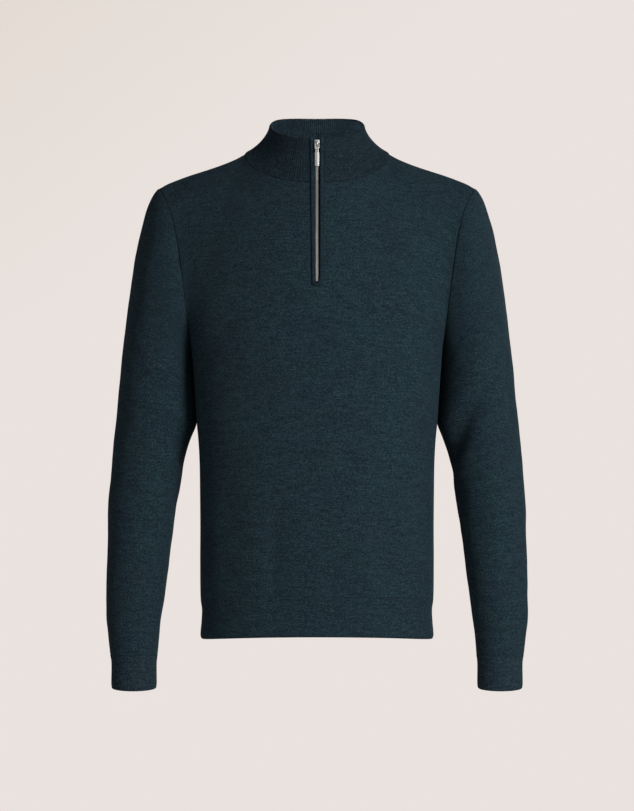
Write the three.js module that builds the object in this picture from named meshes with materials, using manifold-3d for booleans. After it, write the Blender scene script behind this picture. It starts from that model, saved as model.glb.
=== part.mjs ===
// Quarter zip sweater in fine knit, filled out as if worn, with its sleeves hanging.
// Millimetres, +Z up, front towards -Y, the wearer's left towards +X.
// The origin is between the shoulders, level with the base of the neck, where it is held up.

import * as THREE from 'three';
import { mergeVertices } from 'three/addons/utils/BufferGeometryUtils.js';
import Module from 'manifold-3d';

const wasm = await Module();
wasm.setup();

// Cloth
const KNIT_WALL = 2.0;
const HEM_WALL = 2.8;
const CUFF_WALL = 3.0;
const COLLAR_WALL = 4.0;
const SEAM_GAP = 0.3;
const RIB_DEPTH = 0.5;

// Zip
const SLIT_HALF = 4;
const TRIM_FIELD = 11;
const TRIM_INNER = 2.6;
const TRIM_WIDE = 9.4;
const TRIM_NARROW = 6.8;
const TRIM_THICK = 1.6;
const TRIM_FOOT = 5;
const CHAIN_HALF = 2.1;
const CHAIN_FRONT = 0.5;
const CHAIN_THICK = 2.5;
const TAPE_THICK = 0.8;
const TAPE_GAP = 0.5;
const TAPE_IN_COLLAR = 3.6;
const TAPE_SPLIT = 0.3;

// Slider and pull tab, in the slider's own frame: the seat is its middle on the collar's face
const SLIDER_SHARE = 0.865;
const SLIDER_TOP = 5.6;
const POST_BOTTOM = 2.2;
const PLATE_THICK = 1.4;
const REAR_THICK = 1.1;
const METAL_OVERLAP = 0.3;
const BRIDGE_HALF = 1.1;
const BRIDGE_HEADROOM = 1.05;
const PIVOT_HEIGHT = 1.0;
const PIVOT_RADIUS = 0.62;
const TAB_ARM_INNER = 1.7;
const TAB_ARM_HALF = 0.7;
const LINK_HALF_THICK = 0.5;
const BAR_HALF_THICK = 0.75;

// Neck seam and collar top, as ovals seen from above
const NECK = { halfWidth: 97, front: 78, back: 66 };
const COLLAR_TOP = { halfWidth: 63.5, front: 68, back: 62 };
// Heights round the neck, from the centre front (0) to the centre back (180)
const NECK_HEIGHTS = [
  { angle: 0, seam: -36, top: 23.5 },
  { angle: 30, seam: -30, top: 27.5 },
  { angle: 60, seam: -14, top: 36 },
  { angle: 90, seam: 7, top: 46.5 },
  { angle: 120, seam: 15, top: 56 },
  { angle: 150, seam: 16, top: 59.6 },
  { angle: 180, seam: 16, top: 60 },
];

// Grid steps: from the zip field to the neck point, along the shoulder, and up the armhole
const NECK_STEPS = 7;
const SHOULDER_STEPS = 5;
const ARMHOLE_STEPS = 10;
const SLIT_STEP = 4;
const CAP_STEPS = 7;
const RIBS_A_STEP = 5;
const RIBS_BY_ZIP = 2;
const CUFF_RIBS = 67;

// Torso rings: half width, reach forward and back at the centre, and how far the front edge lifts
const TORSO = [
  { z: -640.6, halfWidth: 154.2, front: 106, back: 97, lift: 7.5 },
  { z: -635.6, halfWidth: 155.8, front: 108, back: 98, lift: 7.5 },
  { z: -617, halfWidth: 154.4, front: 107, back: 97, lift: 7.5 },
  { z: -601, halfWidth: 153.8, front: 106.5, back: 96, lift: 7 },
  { z: -587, halfWidth: 155.6, front: 107.5, back: 95, lift: 7 },
  { z: -535, halfWidth: 156.2, front: 109.5, back: 92, lift: 5 },
  { z: -495, halfWidth: 156, front: 110.5, back: 90, lift: 3.6 },
  { z: -455, halfWidth: 156.3, front: 112, back: 90, lift: 2 },
  { z: -405, halfWidth: 157, front: 114, back: 92, lift: 1 },
  { z: -375, halfWidth: 158.6, front: 116, back: 94, lift: 0 },
  { z: -350, halfWidth: 161, front: 117, back: 96, lift: 0 },
  { z: -305, halfWidth: 164, front: 118.5, back: 101, lift: 0 },
  { z: -255, halfWidth: 168, front: 119, back: 105, lift: 0 },
];
const TORSO_SIDE_Y = -8;
const TORSO_SQUARENESS = 2.35;
const HEM_SEAM = -587;
const UNDERARM = -255;

// Shoulder seam from the neck point out to the shoulder point
const SHOULDER = [
  { x: 97, y: 0, z: 7 },
  { x: 111, y: 1, z: 0 },
  { x: 139, y: 2, z: -10.5 },
  { x: 173, y: 3, z: -21 },
  { x: 200, y: 4, z: -31.5 },
  { x: 212, y: 4, z: -38 },
];

// Armhole from the underarm up to the shoulder point
const ARMHOLE_FRONT = [
  { x: 168, y: -8, z: -255 },
  { x: 169.5, y: -30, z: -240 },
  { x: 173, y: -47, z: -205 },
  { x: 177.5, y: -51, z: -165 },
  { x: 181, y: -48, z: -142 },
  { x: 184.5, y: -45, z: -117 },
  { x: 189.5, y: -39, z: -91 },
  { x: 197, y: -28, z: -66 },
  { x: 204.5, y: -15, z: -51 },
  { x: 212, y: 4, z: -38 },
];
const ARMHOLE_BACK = [
  { x: 168, y: -8, z: -255 },
  { x: 169.5, y: 16, z: -242 },
  { x: 172, y: 40, z: -210 },
  { x: 175, y: 54, z: -170 },
  { x: 180, y: 56, z: -130 },
  { x: 187, y: 51, z: -96 },
  { x: 197, y: 38, z: -66 },
  { x: 205, y: 22, z: -49 },
  { x: 212, y: 4, z: -38 },
];

// Direction in which the cloth runs up into the top edge, from the centre (0) to the armhole (1)
const FRONT_RISE = [
  { at: 0, x: 0, y: 0.42, z: 0.9 },
  { at: 0.3, x: -0.05, y: 0.55, z: 0.8 },
  { at: 0.5, x: -0.3, y: 0.7, z: 0.62 },
  { at: 0.6, x: -0.4, y: 0.75, z: 0.45 },
  { at: 0.75, x: -0.05, y: 0.97, z: 0.2 },
  { at: 0.9, x: 0.1, y: 0.95, z: 0.3 },
  { at: 1, x: 0.3, y: 0.8, z: 0.5 },
];
const BACK_RISE = [
  { at: 0, x: 0, y: -0.4, z: 0.9 },
  { at: 0.3, x: -0.05, y: -0.5, z: 0.8 },
  { at: 0.5, x: -0.25, y: -0.75, z: 0.5 },
  { at: 0.6, x: -0.3, y: -0.85, z: 0.35 },
  { at: 0.75, x: -0.05, y: -0.98, z: 0.18 },
  { at: 0.9, x: 0.1, y: -0.95, z: 0.3 },
  { at: 1, x: 0.3, y: -0.8, z: 0.5 },
];

// Sleeve rings below the sleeve head
const SLEEVE = [
  { z: -300, inner: 165.2, outer: 264.8, y: 6, halfDepth: 61 },
  { z: -325, inner: 163.2, outer: 267.4, y: 8, halfDepth: 60 },
  { z: -350, inner: 161.6, outer: 270.2, y: 10, halfDepth: 58 },
  { z: -375, inner: 169.5, outer: 272.7, y: 8, halfDepth: 56 },
  { z: -402, inner: 175.6, outer: 275, y: 5, halfDepth: 54 },
  { z: -456, inner: 186, outer: 277.2, y: -4, halfDepth: 50 },
  { z: -509, inner: 193.8, outer: 279.6, y: -13, halfDepth: 46 },
  { z: -563, inner: 200.2, outer: 280.6, y: -22, halfDepth: 43 },
  { z: -614, inner: 207.6, outer: 280.2, y: -30, halfDepth: 39 },
  { z: -643, inner: 210.4, outer: 277, y: -34.5, halfDepth: 35.5 },
  { z: -659, inner: 211.7, outer: 274.8, y: -37, halfDepth: 33.5 },
];
const CUFF = [
  { z: -659, inner: 211.7, outer: 274.8, y: -37, halfDepth: 33.5 },
  { z: -670, inner: 213, outer: 273, y: -38, halfDepth: 31.6 },
  { z: -700.8, inner: 213, outer: 273, y: -40, halfDepth: 31.2 },
  { z: -704.3, inner: 214, outer: 272, y: -40.2, halfDepth: 30.2 },
];
const CUFF_FRONT_DROP = 2.4;

// Direction in which the sleeve leaves the armhole, from the underarm (0) over the front (5)
// and the shoulder (10) to the back (15)
const SLEEVE_START = [
  { step: 0, x: 0.02, y: 0.1, z: -1, pull: 1 },
  { step: 3, x: 0.55, y: -0.35, z: -0.76, pull: 0.75 },
  { step: 6, x: 0.82, y: -0.42, z: -0.4, pull: 0.55 },
  { step: 10, x: 0.78, y: 0, z: -0.62, pull: 0.42 },
  { step: 14, x: 0.82, y: 0.42, z: -0.4, pull: 0.55 },
  { step: 17, x: 0.55, y: 0.35, z: -0.76, pull: 0.75 },
  { step: 20, x: 0.02, y: 0.1, z: -1, pull: 1 },
];

// The largest folds: long soft troughs (depth above 0) and ridges (depth below 0)
// On the torso x and z give the middle, and lean is how far x moves for each millimetre of z
const FRONT_FOLDS = [
  { x: -57, z: -545, width: 22, length: 70, lean: 0.05, depth: 2.6 },
  { x: 66, z: -560, width: 20, length: 65, lean: -0.12, depth: -2.2 },
  { x: 92, z: -545, width: 20, length: 80, lean: -0.1, depth: 2.4 },
  { x: -118, z: -520, width: 26, length: 110, lean: 0.02, depth: 2.8 },
  { x: -128, z: -235, width: 20, length: 45, lean: 0.9, depth: 3.0 },
  { x: 128, z: -240, width: 20, length: 40, lean: -0.9, depth: 2.2 },
];
const BACK_FOLDS = [
  { x: -70, z: -500, width: 24, length: 95, lean: 0.05, depth: 3.2 },
  { x: 22, z: -520, width: 22, length: 85, lean: -0.04, depth: 2.6 },
  { x: 95, z: -480, width: 26, length: 100, lean: -0.06, depth: 3.4 },
  { x: -120, z: -240, width: 20, length: 50, lean: 0.9, depth: 3.2 },
  { x: 122, z: -238, width: 20, length: 50, lean: -0.9, depth: 3.2 },
];
// On a sleeve turn is where it lies round the arm: 0 the inner side, 0.25 front, 0.5 outer
const SLEEVE_FOLDS = [
  { turn: 0.14, z: -372, reach: 0.13, width: 24, slant: 60, depth: 4.2 },
  { turn: 0.16, z: -425, reach: 0.12, width: 20, slant: 50, depth: 2.8 },
  { turn: 0.86, z: -360, reach: 0.13, width: 24, slant: -60, depth: 4.0 },
  { turn: 0.4, z: -470, reach: 0.16, width: 40, slant: 40, depth: -2.0 },
];

const KNIT_COLOUR = 0x202e36;
const RIB_COLOUR = 0x1c2930;
const TAPE_COLOUR = 0x14191d;
const METAL_COLOUR = 0xc6c9cc;

const DEG = Math.PI / 180;
const vec = (x, y, z) => new THREE.Vector3(x, y, z);
const asVector = (row) => vec(row.x, row.y, row.z);
const mirrorX = (p) => vec(-p.x, p.y, p.z);
const lerp = THREE.MathUtils.lerp;
const bell = (offset) => Math.exp(-offset * offset);

// Reads a column of a table at a place between its rows, along a smooth curve through them
function between(table, key, place, column) {
  const rising = table[0][key] < table[table.length - 1][key];
  const rows = rising ? table : [...table].reverse();
  const last = rows.length - 1;
  let i = 0;
  while (i < last - 1 && place > rows[i + 1][key]) i += 1;
  const slope = (k) => {
    const a = rows[Math.max(k - 1, 0)];
    const b = rows[Math.min(k + 1, last)];
    return (b[column] - a[column]) / (b[key] - a[key]);
  };
  const step = rows[i + 1][key] - rows[i][key];
  const t = THREE.MathUtils.clamp((place - rows[i][key]) / step, 0, 1);
  return hermite(rows[i][column], rows[i + 1][column], slope(i) * step, slope(i + 1) * step, t);
}

function hermite(a, b, slopeA, slopeB, t) {
  const t2 = t * t;
  const t3 = t2 * t;
  const fromA = (2 * t3 - 3 * t2 + 1) * a + (t3 - 2 * t2 + t) * slopeA;
  const fromB = (3 * t2 - 2 * t3) * b + (t3 - t2) * slopeB;
  return fromA + fromB;
}

function hermitePoint(a, b, slopeA, slopeB, t) {
  const axis = (k) => hermite(a[k], b[k], slopeA[k], slopeB[k], t);
  return vec(axis('x'), axis('y'), axis('z'));
}

function directionAt(table, key, place) {
  const axis = (k) => between(table, key, place, k);
  return vec(axis('x'), axis('y'), axis('z')).normalize();
}

// Points a given share of the way along a dense line of points
function alongLine(line, shares) {
  const lengths = [0];
  for (let i = 1; i < line.length; i += 1) {
    lengths.push(lengths[i - 1] + line[i].distanceTo(line[i - 1]));
  }
  const total = lengths[lengths.length - 1];
  return shares.map((share) => {
    let i = 1;
    while (i < line.length - 1 && lengths[i] < share * total) i += 1;
    const t = (share * total - lengths[i - 1]) / (lengths[i] - lengths[i - 1]);
    return line[i - 1].clone().lerp(line[i], t);
  });
}

const evenShares = (steps) => Array.from({ length: steps + 1 }, (_, i) => i / steps);

function smoothCurve(rows, shares) {
  const curve = new THREE.CatmullRomCurve3(rows.map(asVector), false, 'centripetal');
  return alongLine(curve.getPoints(240), shares);
}

// Torso ring, from a distance off the centre line round to the side seam
function torsoQuarter(z, startX, steps, facing) {
  const ring = (column) => between(TORSO, 'z', z, column);
  const width = ring('halfWidth');
  const depth = facing < 0 ? ring('front') + TORSO_SIDE_Y : ring('back') - TORSO_SIDE_Y;
  const power = 2 / TORSO_SQUARENESS;
  const first = Math.asin((startX / width) ** (1 / power));
  const line = evenShares(90).map((share) => {
    const angle = lerp(first, Math.PI / 2, share);
    const forward = Math.abs(Math.cos(angle)) ** power;
    const lift = facing < 0 ? ring('lift') * forward * forward : 0;
    return vec(width * Math.sin(angle) ** power, TORSO_SIDE_Y + facing * depth * forward, z + lift);
  });
  return alongLine(line, evenShares(steps));
}

function ovalPoint(oval, heights, angle) {
  const reach = angle < 90 ? oval.front : oval.back;
  const x = oval.halfWidth * Math.sin(angle * DEG);
  return vec(x, -reach * Math.cos(angle * DEG), between(NECK_HEIGHTS, 'angle', angle, heights));
}

const neckPoint = (angle) => ovalPoint(NECK, 'seam', angle);
const collarTopPoint = (angle) => ovalPoint(COLLAR_TOP, 'top', angle);

// An oval line from a distance off the centre line to the side, at the front or at the back
function ovalQuarter(pointAt, halfWidth, startX, facing, steps) {
  const start = Math.asin(startX / halfWidth) / DEG;
  const line = evenShares(90).map((share) => {
    const angle = lerp(start, 90, share);
    return pointAt(facing < 0 ? angle : 180 - angle);
  });
  return alongLine(line, evenShares(steps));
}

// The stations off the centre line: the slit and the zip field in front, the middle at the back
const centreStations = (facing) => (facing < 0 ? [SLIT_HALF] : []);
const fieldStart = (facing) => (facing < 0 ? TRIM_FIELD : 0);
const shoulderLine = smoothCurve(SHOULDER, evenShares(SHOULDER_STEPS));

function ovalStations(pointAt, halfWidth, facing) {
  const near = centreStations(facing).map((x) => pointAt(Math.asin(x / halfWidth) / DEG));
  return [...near, ...ovalQuarter(pointAt, halfWidth, fieldStart(facing), facing, NECK_STEPS)];
}

function topStations(facing) {
  return [...ovalStations(neckPoint, NECK.halfWidth, facing), ...shoulderLine.slice(1)];
}

function ringStations(z, facing) {
  const near = centreStations(facing).map((x) => torsoQuarter(z, x, 1, facing)[0]);
  return [...near, ...torsoQuarter(z, fieldStart(facing), NECK_STEPS + SHOULDER_STEPS, facing)];
}

// How far the folds pull a torso point in
function foldDepth(folds, x, z) {
  return folds.reduce((sum, fold) => {
    const along = (z - fold.z) / fold.length;
    const across = (x - fold.x - fold.lean * (z - fold.z)) / fold.width;
    return sum + fold.depth * bell(along) * bell(across);
  }, 0);
}

// Half of the front or back, as rows of points from the centre out, from the hem seam up
function halfPanel(facing) {
  const armhole = smoothCurve(facing < 0 ? ARMHOLE_FRONT : ARMHOLE_BACK, evenShares(ARMHOLE_STEPS));
  const lower = TORSO.filter((row) => row.z >= HEM_SEAM).map((row) => ringStations(row.z, facing));
  const bottom = lower[lower.length - 1];
  const below = ringStations(UNDERARM - 5, facing);
  const top = topStations(facing);
  const last = top.length - 1;
  const rise = facing < 0 ? FRONT_RISE : BACK_RISE;
  const columns = top.map((end, i) => {
    const share = i / last;
    const chord = end.distanceTo(bottom[i]);
    const up = bottom[i].clone().sub(below[i]).normalize().multiplyScalar(chord);
    const into = directionAt(rise, 'at', share).multiplyScalar(chord * lerp(1, 0.62, share));
    if (i < centreStations(facing).length + 1) {
      up.x = 0;
      into.x = 0;
    }
    return evenShares(ARMHOLE_STEPS).map((t) => hermitePoint(bottom[i], end, up, into, t));
  });
  const upper = evenShares(ARMHOLE_STEPS).slice(1).map((_, row) => columns.map((column, i) => {
    const correction = armhole[row + 1].clone().sub(columns[last][row + 1]);
    const point = column[row + 1].clone();
    return i === last ? armhole[row + 1] : point.addScaledVector(correction, (i / last) ** 5);
  }));
  return [...lower, ...upper];
}

// Both halves of the front or back, in columns that make the faces look outwards, with the folds
function wholeRows(halfRows, facing, folds) {
  return halfRows.map((row) => {
    const mirrored = row.map(mirrorX);
    const fromSide = facing < 0 ? mirrored : row;
    const toSide = facing < 0 ? row : mirrored.slice(1);
    const across = [...[...fromSide].reverse(), ...toSide];
    const edge = across.length - 1;
    return across.map((point, i) => {
      const fade = Math.min(1, i / 3, (edge - i) / 3);
      const pull = foldDepth(folds, point.x, point.z) * fade;
      return vec(point.x, point.y - facing * pull, point.z);
    });
  });
}

function hemRows(facing) {
  return TORSO.filter((row) => row.z <= HEM_SEAM).map((row) => ringStations(row.z, facing));
}

function sleeveRing(row, steps, frontDrop = 0) {
  const centre = (row.inner + row.outer) / 2;
  const halfWidth = (row.outer - row.inner) / 2;
  return evenShares(steps).slice(0, -1).map((turn) => {
    const angle = turn * 2 * Math.PI;
    const forward = Math.sin(angle);
    const x = centre - halfWidth * Math.cos(angle);
    return vec(x, row.y - row.halfDepth * forward, row.z - frontDrop * forward);
  });
}

function sleeveFoldDepth(turn, z) {
  return SLEEVE_FOLDS.reduce((sum, fold) => {
    const round = turn - fold.turn - Math.round(turn - fold.turn);
    const along = (z - fold.z - fold.slant * round / fold.reach / 2) / fold.width;
    return sum + fold.depth * bell(round / fold.reach) * bell(along);
  }, 0);
}

// The left sleeve, rows from the cuff seam up to the armhole, closed round the arm
function sleeveGrid() {
  const front = smoothCurve(ARMHOLE_FRONT, evenShares(ARMHOLE_STEPS));
  const back = smoothCurve(ARMHOLE_BACK, evenShares(ARMHOLE_STEPS));
  const loop = [...front, ...back.slice(1, -1).reverse()];
  const rings = SLEEVE.map((row) => sleeveRing(row, loop.length));
  const [upper, next] = rings;
  const columns = loop.map((start, i) => {
    const chord = start.distanceTo(upper[i]);
    const pull = between(SLEEVE_START, 'step', i, 'pull');
    const out = directionAt(SLEEVE_START, 'step', i).multiplyScalar(chord * pull);
    const down = next[i].clone().sub(upper[i]).normalize().multiplyScalar(chord);
    return evenShares(CAP_STEPS).map((t) => hermitePoint(start, upper[i], out, down, t));
  });
  const head = evenShares(CAP_STEPS).slice(0, -1).map((_, row) => columns.map((column) => column[row]));
  const creased = rings.map((ring, k) => ring.map((point, i) => {
    const axis = vec((SLEEVE[k].inner + SLEEVE[k].outer) / 2, SLEEVE[k].y, point.z);
    const inward = axis.sub(point).normalize();
    return point.clone().addScaledVector(inward, sleeveFoldDepth(i / loop.length, point.z));
  }));
  return [...head, ...creased].reverse();
}

const mirroredGrid = (grid) => grid.map((row) => row.map(mirrorX).reverse());

// One piece of cloth as a grid of its outer points, with the hole that is cut in it
class Cloth {
  constructor(grid, wall, { closed = false, cut = () => false } = {}) {
    Object.assign(this, { grid, wall, closed });
    this.rows = grid.length;
    this.columns = grid[0].length;
    this.cells = closed ? this.columns : this.columns - 1;
    this.isCut = cut;
    this.normals = this.grid.map((row, j) => row.map((_, i) => this.normalAt(j, i)));
    this.shifts = this.grid.map((row) => row.map(() => vec(0, 0, 0)));
    this.reach = this.grid.map((row) => row.map(() => 1));
  }

  at(j, i) {
    const column = this.closed ? (i + this.columns) % this.columns : i;
    return this.grid[j]?.[column];
  }

  hasCell(j, i) {
    const column = this.closed ? (i + this.cells) % this.cells : i;
    return j >= 0 && j < this.rows - 1 && column >= 0 && column < this.cells && !this.isCut(j, column);
  }

  normalAt(j, i) {
    const sum = vec(0, 0, 0);
    for (const [cellJ, cellI] of [[j - 1, i - 1], [j - 1, i], [j, i - 1], [j, i]]) {
      if (this.hasCell(cellJ, cellI)) {
        const across = this.at(cellJ + 1, cellI + 1).clone().sub(this.at(cellJ, cellI));
        const other = this.at(cellJ + 1, cellI).clone().sub(this.at(cellJ, cellI + 1));
        sum.add(across.cross(other).normalize());
      }
    }
    return sum.normalize();
  }

  // From a point on the outer border, the direction into the cloth
  inwards(j, i) {
    const sum = vec(0, 0, 0);
    const towards = (row, column) => {
      sum.add(this.at(row, column).clone().sub(this.at(j, i)).normalize());
    };
    if (j === 0) towards(1, i);
    if (j === this.rows - 1) towards(j - 1, i);
    if (!this.closed && i === 0) towards(j, 1);
    if (!this.closed && i === this.columns - 1) towards(j, i - 1);
    return sum;
  }

  border() {
    const places = [];
    this.grid.forEach((row, j) => row.forEach((point, i) => {
      const onSide = !this.closed && (i === 0 || i === this.columns - 1);
      if (j === 0 || j === this.rows - 1 || onSide) places.push([j, i]);
    }));
    return places;
  }

  outer(j, i) {
    return this.grid[j][i].clone().add(this.shifts[j][i]);
  }

  inner(j, i) {
    return this.outer(j, i).addScaledVector(this.normals[j][i], -this.wall * this.reach[j][i]);
  }

  geometry() {
    const faces = new Faces();
    for (let j = 0; j < this.rows - 1; j += 1) {
      for (let i = 0; i < this.cells; i += 1) {
        if (this.hasCell(j, i)) this.addCell(faces, j, i);
      }
    }
    return faces.geometry();
  }

  addCell(faces, j, i) {
    const ring = [[j, i], [j, i + 1], [j + 1, i + 1], [j + 1, i]];
    const outer = ring.map(([row, column]) => this.outer(row, this.wrap(column)));
    const inner = ring.map(([row, column]) => this.inner(row, this.wrap(column)));
    faces.quad(...outer);
    faces.quad(...[...inner].reverse());
    const beside = [[j - 1, i], [j, i + 1], [j + 1, i], [j, i - 1]];
    beside.forEach(([row, column], k) => {
      const after = (k + 1) % ring.length;
      if (!this.hasCell(row, column)) faces.quad(outer[k], inner[k], inner[after], outer[after]);
    });
  }

  wrap(column) {
    return this.closed ? column % this.columns : column;
  }
}

class Faces {
  constructor() {
    this.positions = [];
  }

  triangle(a, b, c) {
    [a, b, c].forEach((point) => this.positions.push(point.x, point.y, point.z));
  }

  // Four corners in order, split along the shorter diagonal
  quad(a, b, c, d) {
    const turned = b.distanceTo(d) < a.distanceTo(c) - 1e-6;
    this.triangle(a, b, turned ? d : c);
    this.triangle(turned ? b : a, c, d);
  }

  // Fills a flat outline, which gives the faces their direction, and leaves its hole open
  fill(outline, hole = []) {
    const all = [...outline, ...hole];
    const size = new THREE.Box3().setFromPoints(outline).getSize(new THREE.Vector3());
    const flat = all.map((point) => new THREE.Vector2(size.x < size.z ? point.z : point.x, point.y));
    const border = flat.slice(0, outline.length);
    const turn = Math.sign(THREE.ShapeUtils.area(border));
    const holes = hole.length ? [flat.slice(outline.length)] : [];
    for (const [a, b, c] of THREE.ShapeUtils.triangulateShape(border, holes)) {
      const same = Math.sign(THREE.ShapeUtils.area([flat[a], flat[b], flat[c]])) === turn;
      this.triangle(all[a], same ? all[b] : all[c], same ? all[c] : all[b]);
    }
  }

  geometry() {
    const loose = new THREE.BufferGeometry();
    loose.setAttribute('position', new THREE.Float32BufferAttribute(this.positions, 3));
    return mergeVertices(loose, 1e-4);
  }
}

// Where pieces meet, each draws back half the seam gap, and their inner edges are mitred.
// The deeper the fold that a seam lies in, the more each wall keeps its own direction.
function sewTogether(pieces) {
  const meeting = new Map();
  for (const piece of pieces) {
    for (const [j, i] of piece.border()) {
      const point = piece.grid[j][i];
      const key = point.toArray().map((value) => Math.round(value * 100)).join();
      if (!meeting.has(key)) meeting.set(key, []);
      const normal = piece.normals[j][i].clone();
      meeting.get(key).push({ piece, j, i, normal, into: piece.inwards(j, i) });
    }
  }
  for (const group of meeting.values()) {
    for (const one of group) {
      const others = group.filter((other) => other !== one);
      const apart = one.into.clone();
      const mitre = one.normal.clone();
      for (const other of others) {
        apart.addScaledVector(other.into, -1 / others.length);
        apart.addScaledVector(one.normal.clone().sub(other.normal), -0.5 / others.length);
        const alike = other.normal.dot(one.normal);
        const ridge = other.into.dot(one.normal) < 0;
        const corner = others.length > 1 && alike > 0.3;
        const share = ridge || corner ? 1 : THREE.MathUtils.smoothstep(alike, 0.1, 0.7);
        mitre.addScaledVector(other.normal, share);
      }
      mitre.normalize();
      one.piece.shifts[one.j][one.i].copy(apart.normalize().multiplyScalar(SEAM_GAP / 2));
      one.piece.normals[one.j][one.i].copy(mitre);
      one.piece.reach[one.j][one.i] = 1 / Math.max(mitre.dot(one.normal), 0.7);
    }
  }
}

// Collar: a wall folded double at the top, with ribs on both faces
const COLLAR_OUTER = [0, 0.32, 0.66, 0.955];
const COLLAR_INNER = [0.955, 0.5, 0];

// A point of the collar's outer face, without its ribs, from its seam (0) to its top (1)
function collarPoint(bottom, top, share) {
  const sideways = Math.abs(bottom.x) / NECK.halfWidth;
  const height = top.z - bottom.z;
  const inwards = vec(top.x - bottom.x, top.y - bottom.y, 0);
  const start = inwards.clone().multiplyScalar(lerp(1.2, 1.5, sideways));
  const end = inwards.clone().multiplyScalar(lerp(0.5, 0.12, sideways));
  start.z = height * lerp(0.95, 0.55, sideways);
  end.z = height * lerp(1, 1.1, sideways);
  return hermitePoint(bottom, top, start, end, share);
}

// Stations all round, from the slit on the wearer's left by the back to the other side of the slit
function roundStations(pointAt, halfWidth) {
  const front = ovalStations(pointAt, halfWidth, -1);
  const back = ovalStations(pointAt, halfWidth, 1).reverse();
  const half = [...front, ...back.slice(1)];
  return [...half, ...half.slice(0, -1).map(mirrorX).reverse()];
}

// Between two stations, on a smooth line through their neighbours
function roundBetween(line, i, t) {
  const step = line[i].distanceTo(line[i + 1]);
  const slope = (a, b) => b.clone().sub(a).multiplyScalar(step / a.distanceTo(b));
  const leave = slope(line[Math.max(i - 1, 0)], line[i + 1]);
  const arrive = slope(line[i], line[Math.min(i + 2, line.length - 1)]);
  return hermitePoint(line[i], line[i + 1], leave, arrive, t);
}

// The collar's lowest strip, in the panels' own steps, which is sewn to the neck edge
const collarSeam = roundStations(neckPoint, NECK.halfWidth);
const collarEdge = roundStations(collarTopPoint, COLLAR_TOP.halfWidth);
const FOOT_SHARE = 0.1;
const collarFoot = new Cloth([0, FOOT_SHARE].map((share) => (
  collarSeam.map((seam, i) => collarPoint(seam, collarEdge[i], share))
)), COLLAR_WALL);

// The seam follows the straight steps of the panels' edges, the top is round
function collarColumns() {
  const last = collarSeam.length - 2;
  const columns = [];
  const inward = (i) => collarFoot.normals[0][i].clone().multiplyScalar(-collarFoot.reach[0][i]);
  const shift = (i) => collarFoot.shifts[0][i].clone();
  for (let i = 0; i <= last; i += 1) {
    const steps = 2 * (i === 0 || i === last ? RIBS_BY_ZIP : RIBS_A_STEP);
    const count = i === last ? steps + 1 : steps;
    for (let k = 0; k < count; k += 1) {
      const t = k / steps;
      columns.push({
        seam: collarSeam[i].clone().lerp(collarSeam[i + 1], t),
        shift: shift(i).lerp(shift(i + 1), t),
        inward: inward(i).lerp(inward(i + 1), t),
        top: roundBetween(collarEdge, i, t),
      });
    }
  }
  return columns;
}

// One upright section of the collar, as a closed line: outer face, crest, inner face
function collarProfile(column, round, rib) {
  const pointAt = (share) => collarPoint(column.seam, column.top, share);
  const outwardAt = (share) => {
    const up = pointAt(Math.min(share + 0.02, 1)).sub(pointAt(Math.max(share - 0.02, 0)));
    return round.clone().cross(up).normalize();
  };
  const placed = (share, depth) => {
    if (share > 0) return pointAt(share).addScaledVector(outwardAt(share), depth);
    return column.seam.clone().add(column.shift).addScaledVector(column.inward, -depth);
  };
  const outer = COLLAR_OUTER.map((share) => placed(share, rib));
  const inner = COLLAR_INNER.map((share) => placed(share, -COLLAR_WALL - rib));
  const crest = placed(1, -COLLAR_WALL / 2);
  crest.z += rib;
  return [...outer, crest, ...inner];
}

function collarGeometry() {
  const columns = collarColumns();
  const last = columns.length - 1;
  const profiles = columns.map((column, i) => {
    const before = columns[Math.max(i - 1, 0)];
    const after = columns[Math.min(i + 1, last)];
    const along = (key) => after[key].clone().sub(before[key]).normalize();
    const round = along('seam').add(along('top')).normalize();
    return collarProfile(column, round, RIB_DEPTH * (i % 2 ? 0.5 : -0.5));
  });
  const faces = new Faces();
  for (let i = 0; i < last; i += 1) joinLines(faces, profiles[i], profiles[i + 1], true);
  faces.fill(profiles[0]);
  faces.fill([...profiles[last]].reverse());
  return faces.geometry();
}

// Faces between two lines with as many points each
function joinLines(faces, here, next, closed) {
  const steps = closed ? here.length : here.length - 1;
  for (let k = 0; k < steps; k += 1) {
    const after = (k + 1) % here.length;
    faces.quad(here[k], next[k], next[after], here[after]);
  }
}

// Cuff: ribbed outside, plain and in longer steps inside
const CUFF_INNER_STEPS = 24;

function cuffGeometry() {
  const last = CUFF.length - 1;
  const ringAt = (k, steps, inset) => {
    const row = CUFF[k];
    const drop = CUFF_FRONT_DROP * k / last;
    const level = k === 0 ? row.z - SEAM_GAP / 2 : row.z;
    return sleeveRing({ ...row, z: level }, steps, drop).map((point, i) => {
      const depth = inset ?? RIB_DEPTH * (i % 2 ? -0.5 : 0.5);
      const centre = vec((row.inner + row.outer) / 2, row.y, point.z);
      const inward = centre.sub(point).setLength(depth < 0 ? -depth : depth);
      return point.clone().addScaledVector(inward, Math.sign(depth));
    });
  };
  const outer = CUFF.map((_, k) => ringAt(k, 2 * CUFF_RIBS));
  const inner = [0, last].map((k) => ringAt(k, CUFF_INNER_STEPS, CUFF_WALL));
  const faces = new Faces();
  for (let k = 0; k < last; k += 1) joinLines(faces, outer[k + 1], outer[k], true);
  joinLines(faces, inner[0], inner[1], true);
  faces.fill([...outer[0]].reverse(), inner[0]);
  faces.fill(outer[last], inner[1]);
  return faces.geometry();
}

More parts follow.
